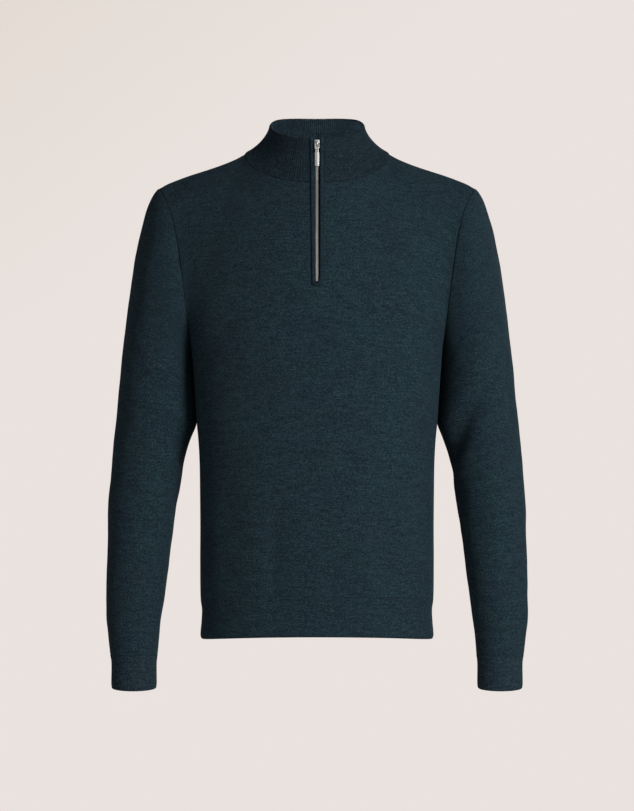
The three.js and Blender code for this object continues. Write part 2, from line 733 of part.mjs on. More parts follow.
// The torso's cloth
const frontGrid = wholeRows(halfPanel(-1), -1, FRONT_FOLDS);
const backGrid = wholeRows(halfPanel(1), 1, BACK_FOLDS);
const leftSleeveGrid = sleeveGrid();
const neckRow = frontGrid.length - 1;
const slitRow = neckRow - ARMHOLE_STEPS + SLIT_STEP;
const slitCell = frontGrid[0].length / 2 - 1;
const cloth = {
  front: new Cloth(frontGrid, KNIT_WALL, { cut: (j, i) => j >= slitRow && i === slitCell }),
  back: new Cloth(backGrid, KNIT_WALL),
  hem_front: new Cloth(wholeRows(hemRows(-1), -1, FRONT_FOLDS), HEM_WALL),
  hem_back: new Cloth(wholeRows(hemRows(1), 1, BACK_FOLDS), HEM_WALL),
  sleeve_left: new Cloth(leftSleeveGrid, KNIT_WALL, { closed: true }),
  sleeve_right: new Cloth(mirroredGrid(leftSleeveGrid), KNIT_WALL, { closed: true }),
};
sewTogether([...Object.values(cloth), collarFoot]);

// A station of the zip's line has a point on the slit's edge and one at the edge of the zip
// field, both on the outer face and on the wearer's left
function panelStation(row) {
  const below = frontGrid[Math.floor(row)];
  const above = frontGrid[Math.min(Math.floor(row) + 1, neckRow)];
  const pointIn = (column) => below[column].clone().lerp(above[column], row % 1);
  return { near: pointIn(slitCell + 1), far: pointIn(slitCell + 2) };
}

function collarStation(share) {
  const pointIn = (i) => collarPoint(collarSeam[i], collarEdge[i], share);
  return { near: pointIn(0), far: pointIn(1) };
}

const rowLength = panelStation(slitRow).near.distanceTo(panelStation(slitRow + 1).near);
const stationBelow = (distance) => panelStation(slitRow - distance / rowLength);
const panelRows = (from, to) => evenShares(to - from).map((share) => panelStation(lerp(from, to, share)));

function outwardAlong(stations, k) {
  const before = stations[Math.max(k - 1, 0)].near;
  const after = stations[Math.min(k + 1, stations.length - 1)].near;
  return vec(0, before.z - after.z, after.y - before.y).normalize();
}

// A grid on the zip field: across gives the places from the centre line, height is off the cloth
function fieldGrid(stations, acrossAt, height) {
  return stations.map((station, k) => acrossAt(k).map((x) => {
    const side = Math.sign(x);
    const share = (Math.abs(x) - SLIT_HALF) / (TRIM_FIELD - SLIT_HALF);
    const point = station.near.clone().lerp(station.far, Math.max(share, 0));
    point.x = Math.abs(x);
    point.addScaledVector(outwardAlong(stations, k), height);
    return side < 0 ? mirrorX(point) : point;
  }));
}

// The trim lies on the cloth as a long U, and its foot below the slit has its corners cut off
function trimGeometry() {
  const corner = 1.4;
  const foot = [stationBelow(TRIM_FOOT), stationBelow(TRIM_FOOT - corner)];
  const collar = [...COLLAR_OUTER.slice(1), 1].map(collarStation);
  const stations = [...foot, ...panelRows(slitRow, neckRow), ...collar];
  const across = (k) => {
    const wide = lerp(TRIM_NARROW, TRIM_WIDE, k / (stations.length - 1));
    const edge = k === 0 ? wide - corner : wide;
    return [-edge, -SLIT_HALF, -TRIM_INNER, TRIM_INNER, SLIT_HALF, edge];
  };
  const gap = SEAM_GAP + RIB_DEPTH / 2;
  const grid = fieldGrid(stations, across, gap + TRIM_THICK);
  return new Cloth(grid, TRIM_THICK, { cut: (j, i) => j >= foot.length && i === 2 }).geometry();
}

// The slider stands on the collar's face near its top; the chain and the tapes end under its post
const sliderSeat = collarStation(SLIDER_SHARE).near.setX(0);
const sliderUp = collarStation(SLIDER_SHARE + 0.05).near.sub(collarStation(SLIDER_SHARE - 0.05).near);
const sliderLean = Math.atan2(sliderUp.y, sliderUp.z);
const collarHeight = collarStation(1).near.distanceTo(collarStation(0).near);
const belowPost = 0.4;
const chainTopShare = SLIDER_SHARE + (POST_BOTTOM - belowPost) / collarHeight;
const inCollar = [collarStation(0.4), collarStation(chainTopShare)];

function chainGeometry() {
  const aboveSlitEnd = 0.8;
  const stations = [stationBelow(-aboveSlitEnd), ...panelRows(slitRow + 1, neckRow), ...inCollar];
  const grid = fieldGrid(stations, () => [-CHAIN_HALF, CHAIN_HALF], CHAIN_FRONT);
  return new Cloth(grid, CHAIN_THICK).geometry();
}

// The tapes are wide behind the front and narrow in the collar's slit
function tapeGeometry(mirrored) {
  const foot = stationBelow(TRIM_FOOT + 1);
  const shortOfSeam = neckRow - 0.12;
  const wide = [foot, ...panelRows(slitRow, neckRow - 1), panelStation(shortOfSeam)];
  const stations = [...wide, panelStation(neckRow), ...inCollar];
  const across = () => [TAPE_SPLIT, TAPE_IN_COLLAR, TRIM_FIELD];
  const grid = fieldGrid(stations, across, CHAIN_FRONT - CHAIN_THICK - TAPE_GAP);
  const outerCell = mirrored ? 0 : 1;
  const cut = (j, i) => j >= wide.length - 1 && i === outerCell;
  return new Cloth(mirrored ? mirroredGrid(grid) : grid, TAPE_THICK, { cut }).geometry();
}

// Metal pieces are drawn in the slider's own frame: X across, Z up the zip, out of the cloth is -Y
function slab(shape, from, to) {
  const settings = { depth: to - from, bevelEnabled: false, curveSegments: 5 };
  const geometry = new THREE.ExtrudeGeometry(shape, settings);
  geometry.rotateX(Math.PI / 2);
  geometry.translate(0, -from, 0);
  return geometry;
}

// A shape across the zip, of given half widths at its bottom and top, with round corners
function plateShape(bottom, top, halfBottom, halfTop, corner) {
  const shape = new THREE.Shape();
  shape.moveTo(-halfBottom + corner, bottom);
  shape.lineTo(halfBottom - corner, bottom);
  shape.quadraticCurveTo(halfBottom, bottom, halfBottom, bottom + corner);
  shape.lineTo(halfTop, top - corner);
  shape.quadraticCurveTo(halfTop, top, halfTop - corner, top);
  shape.lineTo(-halfTop + corner, top);
  shape.quadraticCurveTo(-halfTop, top, -halfTop, top - corner);
  shape.lineTo(-halfBottom, bottom + corner);
  shape.quadraticCurveTo(-halfBottom, bottom, -halfBottom + corner, bottom);
  return shape;
}

function withSlot(shape, bottom, top, half) {
  const hole = new THREE.Path();
  hole.moveTo(-half, bottom);
  hole.lineTo(half, bottom);
  hole.lineTo(half, top);
  hole.lineTo(-half, top);
  hole.closePath();
  shape.holes.push(hole);
  return shape;
}

function solid(geometry) {
  const bare = new THREE.BufferGeometry();
  bare.setAttribute('position', geometry.getAttribute('position').clone());
  if (geometry.index) bare.setIndex(geometry.index.clone());
  const merged = mergeVertices(bare, 1e-4);
  const mesh = new wasm.Mesh({
    numProp: 3,
    vertProperties: new Float32Array(merged.getAttribute('position').array),
    triVerts: new Uint32Array(merged.index.array),
  });
  return new wasm.Manifold(mesh);
}

function joined(...geometries) {
  const whole = geometries.map(solid).reduce((sum, part) => sum.add(part));
  const { vertProperties, triVerts } = whole.getMesh();
  const geometry = new THREE.BufferGeometry();
  geometry.setAttribute('position', new THREE.Float32BufferAttribute(vertProperties, 3));
  geometry.setIndex(Array.from(triVerts));
  return geometry;
}

// Heights out of the cloth at the slider
const plateBack = SEAM_GAP * 2 + RIB_DEPTH / 2 + TRIM_THICK;
const plateFront = plateBack + PLATE_THICK;
const rearFront = CHAIN_FRONT - CHAIN_THICK - TAPE_GAP - TAPE_THICK - SEAM_GAP;
const pivotOut = plateFront + PIVOT_HEIGHT;

function sliderGeometry() {
  const frontShape = plateShape(-SLIDER_TOP, SLIDER_TOP, 3.4, 3.95, 1.2);
  const rearShape = plateShape(-SLIDER_TOP + 0.6, SLIDER_TOP, 2.9, 3.3, 1);
  const postShape = plateShape(POST_BOTTOM, SLIDER_TOP - 0.4, 1.7, 2.2, 0.4);
  const front = slab(frontShape, plateBack, plateFront);
  const rear = slab(rearShape, rearFront - REAR_THICK, rearFront);
  const post = slab(postShape, rearFront - METAL_OVERLAP, plateBack + METAL_OVERLAP);
  return joined(front, rear, post, bridgeGeometry());
}

// The bridge is an arch over the pull tab's pin, drawn from the side
function bridgeGeometry() {
  const foot = plateFront - METAL_OVERLAP;
  const roof = pivotOut + BRIDGE_HEADROOM;
  const crown = roof + BRIDGE_HEADROOM;
  const profile = new THREE.Shape([
    [-3.2, foot], [-3.2, roof], [-2.1, crown], [2.1, crown], [3.2, roof], [3.2, foot],
    [1.7, foot], [1.7, roof], [-1.7, roof], [-1.7, foot],
  ].map(([up, out]) => new THREE.Vector2(up, out)));
  const geometry = new THREE.ExtrudeGeometry(profile, { depth: BRIDGE_HALF * 2, bevelEnabled: false });
  const turned = new THREE.Matrix4().makeBasis(vec(0, 0, 1), vec(0, -1, 0), vec(1, 0, 0));
  geometry.applyMatrix4(turned);
  geometry.translate(-BRIDGE_HALF, 0, 0);
  return geometry;
}

// The pull tab's own origin is its pin: two arms, a link with a slot, and a flat bar
function pullGeometry() {
  const length = (TAB_ARM_INNER + METAL_OVERLAP) * 2;
  const pin = new THREE.CylinderGeometry(PIVOT_RADIUS, PIVOT_RADIUS, length, 10);
  pin.rotateZ(Math.PI / 2);
  const arm = (side) => {
    const shape = plateShape(-6.6, PIVOT_RADIUS, TAB_ARM_HALF, TAB_ARM_HALF, 0.3);
    const geometry = slab(shape, -LINK_HALF_THICK, LINK_HALF_THICK);
    geometry.translate(side * (TAB_ARM_INNER + TAB_ARM_HALF), 0, 0);
    return geometry;
  };
  const linkShape = withSlot(plateShape(-11.8, -6, 2.5, 3.1, 0.8), -9.4, -8.4, 1.5);
  const link = slab(linkShape, -LINK_HALF_THICK, LINK_HALF_THICK);
  const bar = slab(plateShape(-30.4, -11.1, 3.4, 3.4, 1.1), -BAR_HALF_THICK, BAR_HALF_THICK);
  return joined(pin, arm(-1), arm(1), link, bar);
}

function knitMaterial(colour) {
  return new THREE.MeshStandardMaterial({ color: colour, roughness: 0.92, metalness: 0 });
}

function metalMaterial() {
  return new THREE.MeshStandardMaterial({ color: METAL_COLOUR, roughness: 0.25, metalness: 1 });
}

// Faces that look inwards are turned round
function outwardFaces(geometry) {
  const position = geometry.getAttribute('position');
  const corner = (k) => new THREE.Vector3().fromBufferAttribute(position, geometry.index.getX(k));
  let volume = 0;
  for (let k = 0; k < geometry.index.count; k += 3) {
    volume += corner(k).dot(corner(k + 1).cross(corner(k + 2)));
  }
  if (volume < 0) geometry.setIndex(Array.from(geometry.index.array).reverse());
  return geometry;
}

function named(name, geometry, material) {
  const mesh = new THREE.Mesh(outwardFaces(geometry), material);
  mesh.name = name;
  return mesh;
}

const sweater = new THREE.Group();
Object.entries(cloth).forEach(([name, piece]) => {
  sweater.add(named(name, piece.geometry(), knitMaterial(KNIT_COLOUR)));
});
sweater.add(named('collar', collarGeometry(), knitMaterial(RIB_COLOUR)));
sweater.add(named('cuff_left', cuffGeometry(), knitMaterial(RIB_COLOUR)));
sweater.add(named('cuff_right', cuffGeometry().scale(-1, 1, 1), knitMaterial(RIB_COLOUR)));
sweater.add(named('zip_trim', trimGeometry(), knitMaterial(KNIT_COLOUR)));
sweater.add(named('zip_tape_left', tapeGeometry(false), knitMaterial(TAPE_COLOUR)));
sweater.add(named('zip_tape_right', tapeGeometry(true), knitMaterial(TAPE_COLOUR)));
sweater.add(named('zip_chain', chainGeometry(), metalMaterial()));

const slider = new THREE.Group();
slider.position.copy(sliderSeat);
slider.rotation.x = -sliderLean;
slider.add(named('zip_slider', sliderGeometry(), metalMaterial()));
const pull = named('zip_pull', pullGeometry(), metalMaterial());
pull.position.y = -pivotOut;
slider.add(pull);
sweater.add(slider);

export default sweater;
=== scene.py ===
"""A quarter zip sweater in fine knit, filled out as if worn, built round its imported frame.

Tables and sizes are in millimetres unless a name says otherwise, and become metres in the meshes.
+Z is up, the front faces -Y, and the wearer's left is at +X.
"""

import functools
import math
from dataclasses import dataclass

import bmesh
import bpy
import numpy as np
from bpy.props import FloatProperty, FloatVectorProperty, PointerProperty
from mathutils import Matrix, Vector, noise


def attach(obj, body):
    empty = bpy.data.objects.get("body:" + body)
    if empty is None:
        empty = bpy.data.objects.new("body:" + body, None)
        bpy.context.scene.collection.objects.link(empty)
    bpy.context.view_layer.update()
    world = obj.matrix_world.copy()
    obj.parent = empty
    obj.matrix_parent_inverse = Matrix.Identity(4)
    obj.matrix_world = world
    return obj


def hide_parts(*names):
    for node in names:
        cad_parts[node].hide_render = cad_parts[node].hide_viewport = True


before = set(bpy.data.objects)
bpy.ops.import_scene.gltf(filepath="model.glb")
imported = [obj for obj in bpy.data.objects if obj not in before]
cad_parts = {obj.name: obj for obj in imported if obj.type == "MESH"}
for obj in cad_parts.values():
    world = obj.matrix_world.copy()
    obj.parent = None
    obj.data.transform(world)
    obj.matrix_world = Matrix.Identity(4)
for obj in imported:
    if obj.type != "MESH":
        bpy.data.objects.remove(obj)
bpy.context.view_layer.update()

bl_info = {
    "name": "Quarter Zip Sweater",
    "version": (1, 0, 0),
    "blender": (4, 5, 0),
    "location": "3D View > Sidebar > Sweater",
    "description": "Builds a fine knit quarter zip sweater, piece by piece, round its packed frame",
    "category": "Add Mesh",
}

MM = 0.001

# Cloth
KNIT_WALL = 2.0
HEM_WALL = 2.8
CUFF_WALL = 3.0
COLLAR_WALL = 4.0

# Half widths across the zip; the trim's inner edge differs on the right (-1) and the left (1)
SLIT_HALF = 4.0
TRIM_FIELD = 11.0
TRIM_INNER = {-1: 2.3, 1: 3.7}
TRIM_WIDE = 9.4
TRIM_NARROW = 6.8

# Neck seam and collar top, as ovals seen from above
NECK = {"half_width": 97, "front": 78, "back": 66}
COLLAR_TOP = {"half_width": 63.5, "front": 68, "back": 62}
NECK_HEIGHTS = [
    {"angle": 0, "seam": -36, "top": 23.5},
    {"angle": 30, "seam": -30, "top": 27.5},
    {"angle": 60, "seam": -14, "top": 36},
    {"angle": 90, "seam": 7, "top": 46.5},
    {"angle": 120, "seam": 15, "top": 56},
    {"angle": 150, "seam": 16, "top": 59.6},
    {"angle": 180, "seam": 16, "top": 60},
]

# A half panel's columns are placed in steps: 7 along the neck and 5 along the shoulder
NECK_STEPS = 7
SIDE_STEPS = 12
# The front has finer columns at its centre: the slit's edge is the second beside the middle column,
# and the zip field's edge the fourth
SLIT_COLUMNS = 2
FIELD_COLUMNS = 4
# Where the slit begins, as a share of the way from the underarm up to the neck
SLIT_BOTTOM = 0.3833

# Torso rings: half width, reach forward and back at the centre, and how far the front edge lifts
TORSO = [
    {"z": -640.6, "half_width": 154.2, "front": 106, "back": 97, "lift": 7.5},
    {"z": -635.6, "half_width": 155.8, "front": 108, "back": 98, "lift": 7.5},
    {"z": -617, "half_width": 154.4, "front": 107, "back": 97, "lift": 7.5},
    {"z": -601, "half_width": 153.8, "front": 106.5, "back": 96, "lift": 7},
    {"z": -587, "half_width": 155.6, "front": 107.5, "back": 95, "lift": 7},
    {"z": -535, "half_width": 156.2, "front": 109.5, "back": 92, "lift": 5},
    {"z": -495, "half_width": 156, "front": 110.5, "back": 90, "lift": 3.6},
    {"z": -455, "half_width": 156.3, "front": 112, "back": 90, "lift": 2},
    {"z": -405, "half_width": 157, "front": 114, "back": 92, "lift": 1},
    {"z": -375, "half_width": 158.6, "front": 116, "back": 94, "lift": 0},
    {"z": -350, "half_width": 161, "front": 117, "back": 96, "lift": 0},
    {"z": -305, "half_width": 164, "front": 118.5, "back": 101, "lift": 0},
    {"z": -255, "half_width": 168, "front": 119, "back": 105, "lift": 0},
]
TORSO_SIDE_Y = -8
TORSO_SQUARENESS = 2.35
HEM_BOTTOM = -640.6
HEM_SEAM = -587
UNDERARM = -255

SHOULDER = [
    {"x": 97, "y": 0, "z": 7},
    {"x": 111, "y": 1, "z": 0},
    {"x": 139, "y": 2, "z": -10.5},
    {"x": 173, "y": 3, "z": -21},
    {"x": 200, "y": 4, "z": -31.5},
    {"x": 212, "y": 4, "z": -38},
]
ARMHOLE_FRONT = [
    {"x": 168, "y": -8, "z": -255},
    {"x": 169.5, "y": -30, "z": -240},
    {"x": 173, "y": -47, "z": -205},
    {"x": 177.5, "y": -51, "z": -165},
    {"x": 181, "y": -48, "z": -142},
    {"x": 184.5, "y": -45, "z": -117},
    {"x": 189.5, "y": -39, "z": -91},
    {"x": 197, "y": -28, "z": -66},
    {"x": 204.5, "y": -15, "z": -51},
    {"x": 212, "y": 4, "z": -38},
]
ARMHOLE_BACK = [
    {"x": 168, "y": -8, "z": -255},
    {"x": 169.5, "y": 16, "z": -242},
    {"x": 172, "y": 40, "z": -210},
    {"x": 175, "y": 54, "z": -170},
    {"x": 180, "y": 56, "z": -130},
    {"x": 187, "y": 51, "z": -96},
    {"x": 197, "y": 38, "z": -66},
    {"x": 205, "y": 22, "z": -49},
    {"x": 212, "y": 4, "z": -38},
]

# Direction in which the cloth runs up into the top edge, from the centre (0) to the armhole (1)
FRONT_RISE = [
    {"at": 0, "x": 0, "y": 0.42, "z": 0.9},
    {"at": 0.3, "x": -0.05, "y": 0.55, "z": 0.8},
    {"at": 0.5, "x": -0.3, "y": 0.7, "z": 0.62},
    {"at": 0.6, "x": -0.4, "y": 0.75, "z": 0.45},
    {"at": 0.75, "x": -0.05, "y": 0.97, "z": 0.2},
    {"at": 0.9, "x": 0.1, "y": 0.95, "z": 0.3},
    {"at": 1, "x": 0.3, "y": 0.8, "z": 0.5},
]
BACK_RISE = [
    {"at": 0, "x": 0, "y": -0.4, "z": 0.9},
    {"at": 0.3, "x": -0.05, "y": -0.5, "z": 0.8},
    {"at": 0.5, "x": -0.25, "y": -0.75, "z": 0.5},
    {"at": 0.6, "x": -0.3, "y": -0.85, "z": 0.35},
    {"at": 0.75, "x": -0.05, "y": -0.98, "z": 0.18},
    {"at": 0.9, "x": 0.1, "y": -0.95, "z": 0.3},
    {"at": 1, "x": 0.3, "y": -0.8, "z": 0.5},
]

# Sleeve and cuff rings; drop is how far a ring's front hangs below its middle
SLEEVE = [
    {"z": -300, "inner": 165.2, "outer": 264.8, "y": 6, "half_depth": 61},
    {"z": -325, "inner": 163.2, "outer": 267.4, "y": 8, "half_depth": 60},
    {"z": -350, "inner": 161.6, "outer": 270.2, "y": 10, "half_depth": 58},
    {"z": -375, "inner": 169.5, "outer": 272.7, "y": 8, "half_depth": 56},
    {"z": -402, "inner": 175.6, "outer": 275, "y": 5, "half_depth": 54},
    {"z": -456, "inner": 186, "outer": 277.2, "y": -4, "half_depth": 50},
    {"z": -509, "inner": 193.8, "outer": 279.6, "y": -13, "half_depth": 46},
    {"z": -563, "inner": 200.2, "outer": 280.6, "y": -22, "half_depth": 43},
    {"z": -614, "inner": 207.6, "outer": 280.2, "y": -30, "half_depth": 39},
    {"z": -643, "inner": 210.4, "outer": 277, "y": -34.5, "half_depth": 35.5},
    {"z": -659, "inner": 211.7, "outer": 274.8, "y": -37, "half_depth": 33.5},
]
CUFF = [
    {"z": -659, "inner": 211.7, "outer": 274.8, "y": -37, "half_depth": 33.5, "drop": 0},
    {"z": -670, "inner": 213, "outer": 273, "y": -38, "half_depth": 31.6, "drop": 0.8},
    {"z": -700.8, "inner": 213, "outer": 273, "y": -40, "half_depth": 31.2, "drop": 1.6},
    {"z": -704.3, "inner": 214, "outer": 272, "y": -40.2, "half_depth": 30.2, "drop": 2.4},
]
SLEEVE_TOP = -300
CUFF_SEAM = -659
CUFF_BOTTOM = -704.3
ROUND_STEPS = 20

# Direction in which the sleeve leaves the armhole, from the underarm (0) over the front (5)
# and the shoulder (10) to the back (15)
SLEEVE_START = [
    {"step": 0, "x": 0.02, "y": 0.1, "z": -1, "pull": 1},
    {"step": 3, "x": 0.55, "y": -0.35, "z": -0.76, "pull": 0.75},
    {"step": 6, "x": 0.82, "y": -0.42, "z": -0.4, "pull": 0.55},
    {"step": 10, "x": 0.78, "y": 0, "z": -0.62, "pull": 0.42},
    {"step": 14, "x": 0.82, "y": 0.42, "z": -0.4, "pull": 0.55},
    {"step": 17, "x": 0.55, "y": 0.35, "z": -0.76, "pull": 0.75},
    {"step": 20, "x": 0.02, "y": 0.1, "z": -1, "pull": 1},
]

# Long soft troughs (depth above 0) and ridges (depth below 0) of the torso
FRONT_FOLDS = [
    {"x": -57, "z": -545, "width": 22, "length": 70, "lean": 0.05, "depth": 2.6},
    {"x": 66, "z": -560, "width": 20, "length": 65, "lean": -0.12, "depth": -2.2},
    {"x": 92, "z": -545, "width": 20, "length": 80, "lean": -0.1, "depth": 2.4},
    {"x": -118, "z": -520, "width": 26, "length": 110, "lean": 0.02, "depth": 2.8},
    {"x": -128, "z": -235, "width": 20, "length": 45, "lean": 0.9, "depth": 3.0},
    {"x": 128, "z": -240, "width": 20, "length": 40, "lean": -0.9, "depth": 2.2},
]
BACK_FOLDS = [
    {"x": -70, "z": -500, "width": 24, "length": 95, "lean": 0.05, "depth": 3.2},
    {"x": 22, "z": -520, "width": 22, "length": 85, "lean": -0.04, "depth": 2.6},
    {"x": 95, "z": -480, "width": 26, "length": 100, "lean": -0.06, "depth": 3.4},
    {"x": -120, "z": -240, "width": 20, "length": 50, "lean": 0.9, "depth": 3.2},
    {"x": 122, "z": -238, "width": 20, "length": 50, "lean": -0.9, "depth": 3.2},
]
# Smaller creases, which the solids leave out
FRONT_CREASES = [
    {"x": -147, "z": -330, "width": 9, "length": 26, "lean": 1.6, "depth": 1.0},
    {"x": -149, "z": -300, "width": 8, "length": 20, "lean": 1.9, "depth": -0.8},
    {"x": 149, "z": -340, "width": 9, "length": 30, "lean": -1.5, "depth": 0.9},
    {"x": -56, "z": -532, "width": 8, "length": 42, "lean": 0.05, "depth": 2.0},
    {"x": 70, "z": -545, "width": 9, "length": 44, "lean": -0.1, "depth": -1.8},
    {"x": -30, "z": -470, "width": 12, "length": 60, "lean": 0.12, "depth": 0.5},
    {"x": 20, "z": -565, "width": 10, "length": 34, "lean": -0.05, "depth": 0.6},
    {"x": 118, "z": -480, "width": 12, "length": 60, "lean": -0.16, "depth": -0.8},
    {"x": -150, "z": -160, "width": 12, "length": 34, "lean": 0.35, "depth": 1.0},
    {"x": 152, "z": -165, "width": 12, "length": 30, "lean": -0.3, "depth": 0.8},
]
BACK_CREASES = [
    {"x": -40, "z": -430, "width": 14, "length": 60, "lean": 0.2, "depth": 1.0},
    {"x": 60, "z": -410, "width": 12, "length": 50, "lean": -0.3, "depth": -0.9},
    {"x": 140, "z": -330, "width": 10, "length": 34, "lean": -1.4, "depth": 1.1},
    {"x": -140, "z": -320, "width": 10, "length": 30, "lean": 1.5, "depth": 1.2},
    {"x": -110, "z": -555, "width": 12, "length": 40, "lean": 0.06, "depth": 0.8},
    {"x": 2, "z": -330, "width": 20, "length": 90, "lean": 0.02, "depth": 0.8},
    {"x": -148, "z": -150, "width": 12, "length": 40, "lean": 0.3, "depth": 1.2},
    {"x": 148, "z": -158, "width": 12, "length": 36, "lean": -0.35, "depth": 1.1},
]
# Where the upper arm rests on the body: the sleeve's inner side is smooth there, and pressed out to it
ARM_REST = {"z": -298, "length": 62, "reach": 0.085, "share": 1.0, "press": 1.5}

# On a sleeve turn is where it lies round the arm: 0 the inner side, 0.25 front, 0.5 outer;
# arm is the wearer's left (1), the right (-1) or both (0)
SLEEVE_FOLDS = [
    {"turn": 0.14, "z": -372, "reach": 0.13, "width": 24, "slant": 60, "depth": 4.2},
    {"turn": 0.16, "z": -425, "reach": 0.12, "width": 20, "slant": 50, "depth": 2.8},
    {"turn": 0.86, "z": -360, "reach": 0.13, "width": 24, "slant": -60, "depth": 4.0},
    {"turn": 0.4, "z": -470, "reach": 0.16, "width": 40, "slant": 40, "depth": -2.0},
]
SLEEVE_CREASES = [
    {"arm": 1, "turn": 0.19, "z": -346, "reach": 0.12, "width": 21, "slant": 84, "depth": 9.0},
    {"arm": 1, "turn": 0.3, "z": -392, "reach": 0.12, "width": 26, "slant": 40, "depth": -1.6},
    {"arm": 1, "turn": 0.1, "z": -398, "reach": 0.1, "width": 14, "slant": 40, "depth": 0.6},
    {"arm": -1, "turn": 0.2, "z": -311, "reach": 0.11, "width": 15, "slant": 44, "depth": 4.0},
    {"arm": -1, "turn": 0.2, "z": -420, "reach": 0.1, "width": 40, "slant": 0, "depth": -1.5},
    {"arm": -1, "turn": 0.11, "z": -392, "reach": 0.08, "width": 10, "slant": 46, "depth": 1.4},
    {"arm": 0, "turn": 0.2, "z": -238, "reach": 0.12, "width": 15, "slant": 30, "depth": 1.3},
    {"arm": -1, "turn": 0.08, "z": -205, "reach": 0.09, "width": 50, "slant": 0, "depth": 10.0},
    {"arm": 1, "turn": 0.12, "z": -460, "reach": 0.1, "width": 10, "slant": 38, "depth": 1.0},
    {"arm": -1, "turn": 0.14, "z": -442, "reach": 0.12, "width": 12, "slant": 30, "depth": 1.1},
    {"arm": 1, "turn": 0.9, "z": -402, "reach": 0.11, "width": 11, "slant": -44, "depth": 1.6},
    {"arm": -1, "turn": 0.88, "z": -388, "reach": 0.1, "width": 12, "slant": -38, "depth": 1.8},
    {"arm": 0, "turn": 0.8, "z": -330, "reach": 0.12, "width": 13, "slant": -34, "depth": 1.5},
    {"arm": 1, "turn": 0.22, "z": -560, "reach": 0.13, "width": 16, "slant": 30, "depth": 0.9},
    {"arm": -1, "turn": 0.26, "z": -532, "reach": 0.14, "width": 18, "slant": 26, "depth": 0.9},
    {"arm": 0, "turn": 0.62, "z": -600, "reach": 0.12, "width": 14, "slant": -26, "depth": 0.9},
    {"arm": 1, "turn": 0.3, "z": -640, "reach": 0.14, "width": 9, "slant": 14, "depth": 0.8},
    {"arm": -1, "turn": 0.2, "z": -634, "reach": 0.15, "width": 9, "slant": 12, "depth": 0.9},
    {"arm": 0, "turn": 0.7, "z": -636, "reach": 0.16, "width": 9, "slant": -12, "depth": 0.8},
]

# Sizes of the large and the small waves of the cloth's soft unevenness
TORSO_WAVES = (55, 19)
SLEEVE_WAVES = (45, 17)
# How far below a panel's top edge its waves are full, and from a sleeve's ends its folds and waves
TORSO_FADE = 25
SLEEVE_FADE = 30
# The chest is evened out, from the underarm up over a rise and away from its edges
EVEN_CHEST = {"rise": 40, "edge": 12, "rounds": 90}

# Steps of the visible cloth, in which rows and columns are finest beside a seam
FINE_STEP = 5
SIDE_STEP_LENGTH = 18
ROW = 4.0
SEAM_STEPS = np.array([0, 0.5, 1.1, 1.8, 2.7])
SEAM_REACH = 0.9
# How much a knitted-on join shows beside a sewn seam, in its groove and its painted shade
NECK_JOIN = 0.5
HEM_JOIN = 0.12
CUFF_JOIN = 0.25
# Sewing yarn: how far it stands out of the groove's floor, and the length of its steps
YARN_RADIUS = 0.3
YARN_PROUD = 0.1
YARN_STEP = 3
# Rows and columns of a panel's upper part, a sleeve and its head, and of the folded edges; a length
# or girth is the rough size that turns millimetres beside a seam into a share
UPPER_ROWS = 60
UPPER_LENGTH = 240
SLEEVE_COLUMNS = 90
SLEEVE_GIRTH = 300
CAP_ROWS = 40
CAP_LENGTH = 190
COLLAR_HEIGHT = 60
CREST_STEPS = 6
FOLD_STEPS = 5
# Points on a curve before its length is shared out
CURVE_POINTS = 160

# Where the collar starts to turn over at its top, as a share of its height
COLLAR_SHOULDER = 0.96

# Ribs: how far they stand out of each side as shares of the rib height, and the shade between them
RIBS_A_STEP = 5
RIBS_BY_ZIP = 2
POINTS_A_RIB = 6
RIB_PITCH = 2.8
RIB_COURSE = 1.2
CUFF_RIBS = 67
COLLAR_RIB = {"outside": 0.9, "inside": 1.9, "shadow": 0.4}
CUFF_RIB = {"outside": 0.4, "inside": 0.6, "shadow": 0.22}

# Zip trim: how far it reaches below the slit and down inside the collar, and the length and half
# width of the point in which the slit ends
TRIM_FOOT = 3.8
TRIM_INSIDE = 9.0
TRIM_POINT = 9.0
TRIM_POINT_HALF = 0.4
# Depths of trim and tape, measured out of the cloth's face
TRIM_GAP = 0.25
TRIM_THICK = 2.1
TRIM_EDGE = 1.6
TAPE_FRONT = -2.45
TAPE_THICK = 0.8

# A tooth of the wearer's left side: x across and y up the zip as shares, at levels off the cloth
TOOTH_OUTLINE = np.array([
    [-0.75, 0.6], [-0.5, 1], [1.5, 1], [2.0, 0.75], [2.0, -0.75], [1.5, -1], [-0.5, -1], [-0.75, -0.6],
])[::-1]
TOOTH_MIDDLE = np.array([0.62, 0.0])
TOOTH_LEVELS = [
    {"out": -2.0, "inset": 0.0},
    {"out": 0.1, "inset": 0.0},
    {"out": 0.36, "inset": 0.1},
    {"out": 0.5, "inset": 0.3},
]
# Half a tooth's height as a share of the pitch, and how far the lowest ones dip
TOOTH_SHARE = 0.21
TOOTH_DIP = 0.9
TEETH_X = -0.1

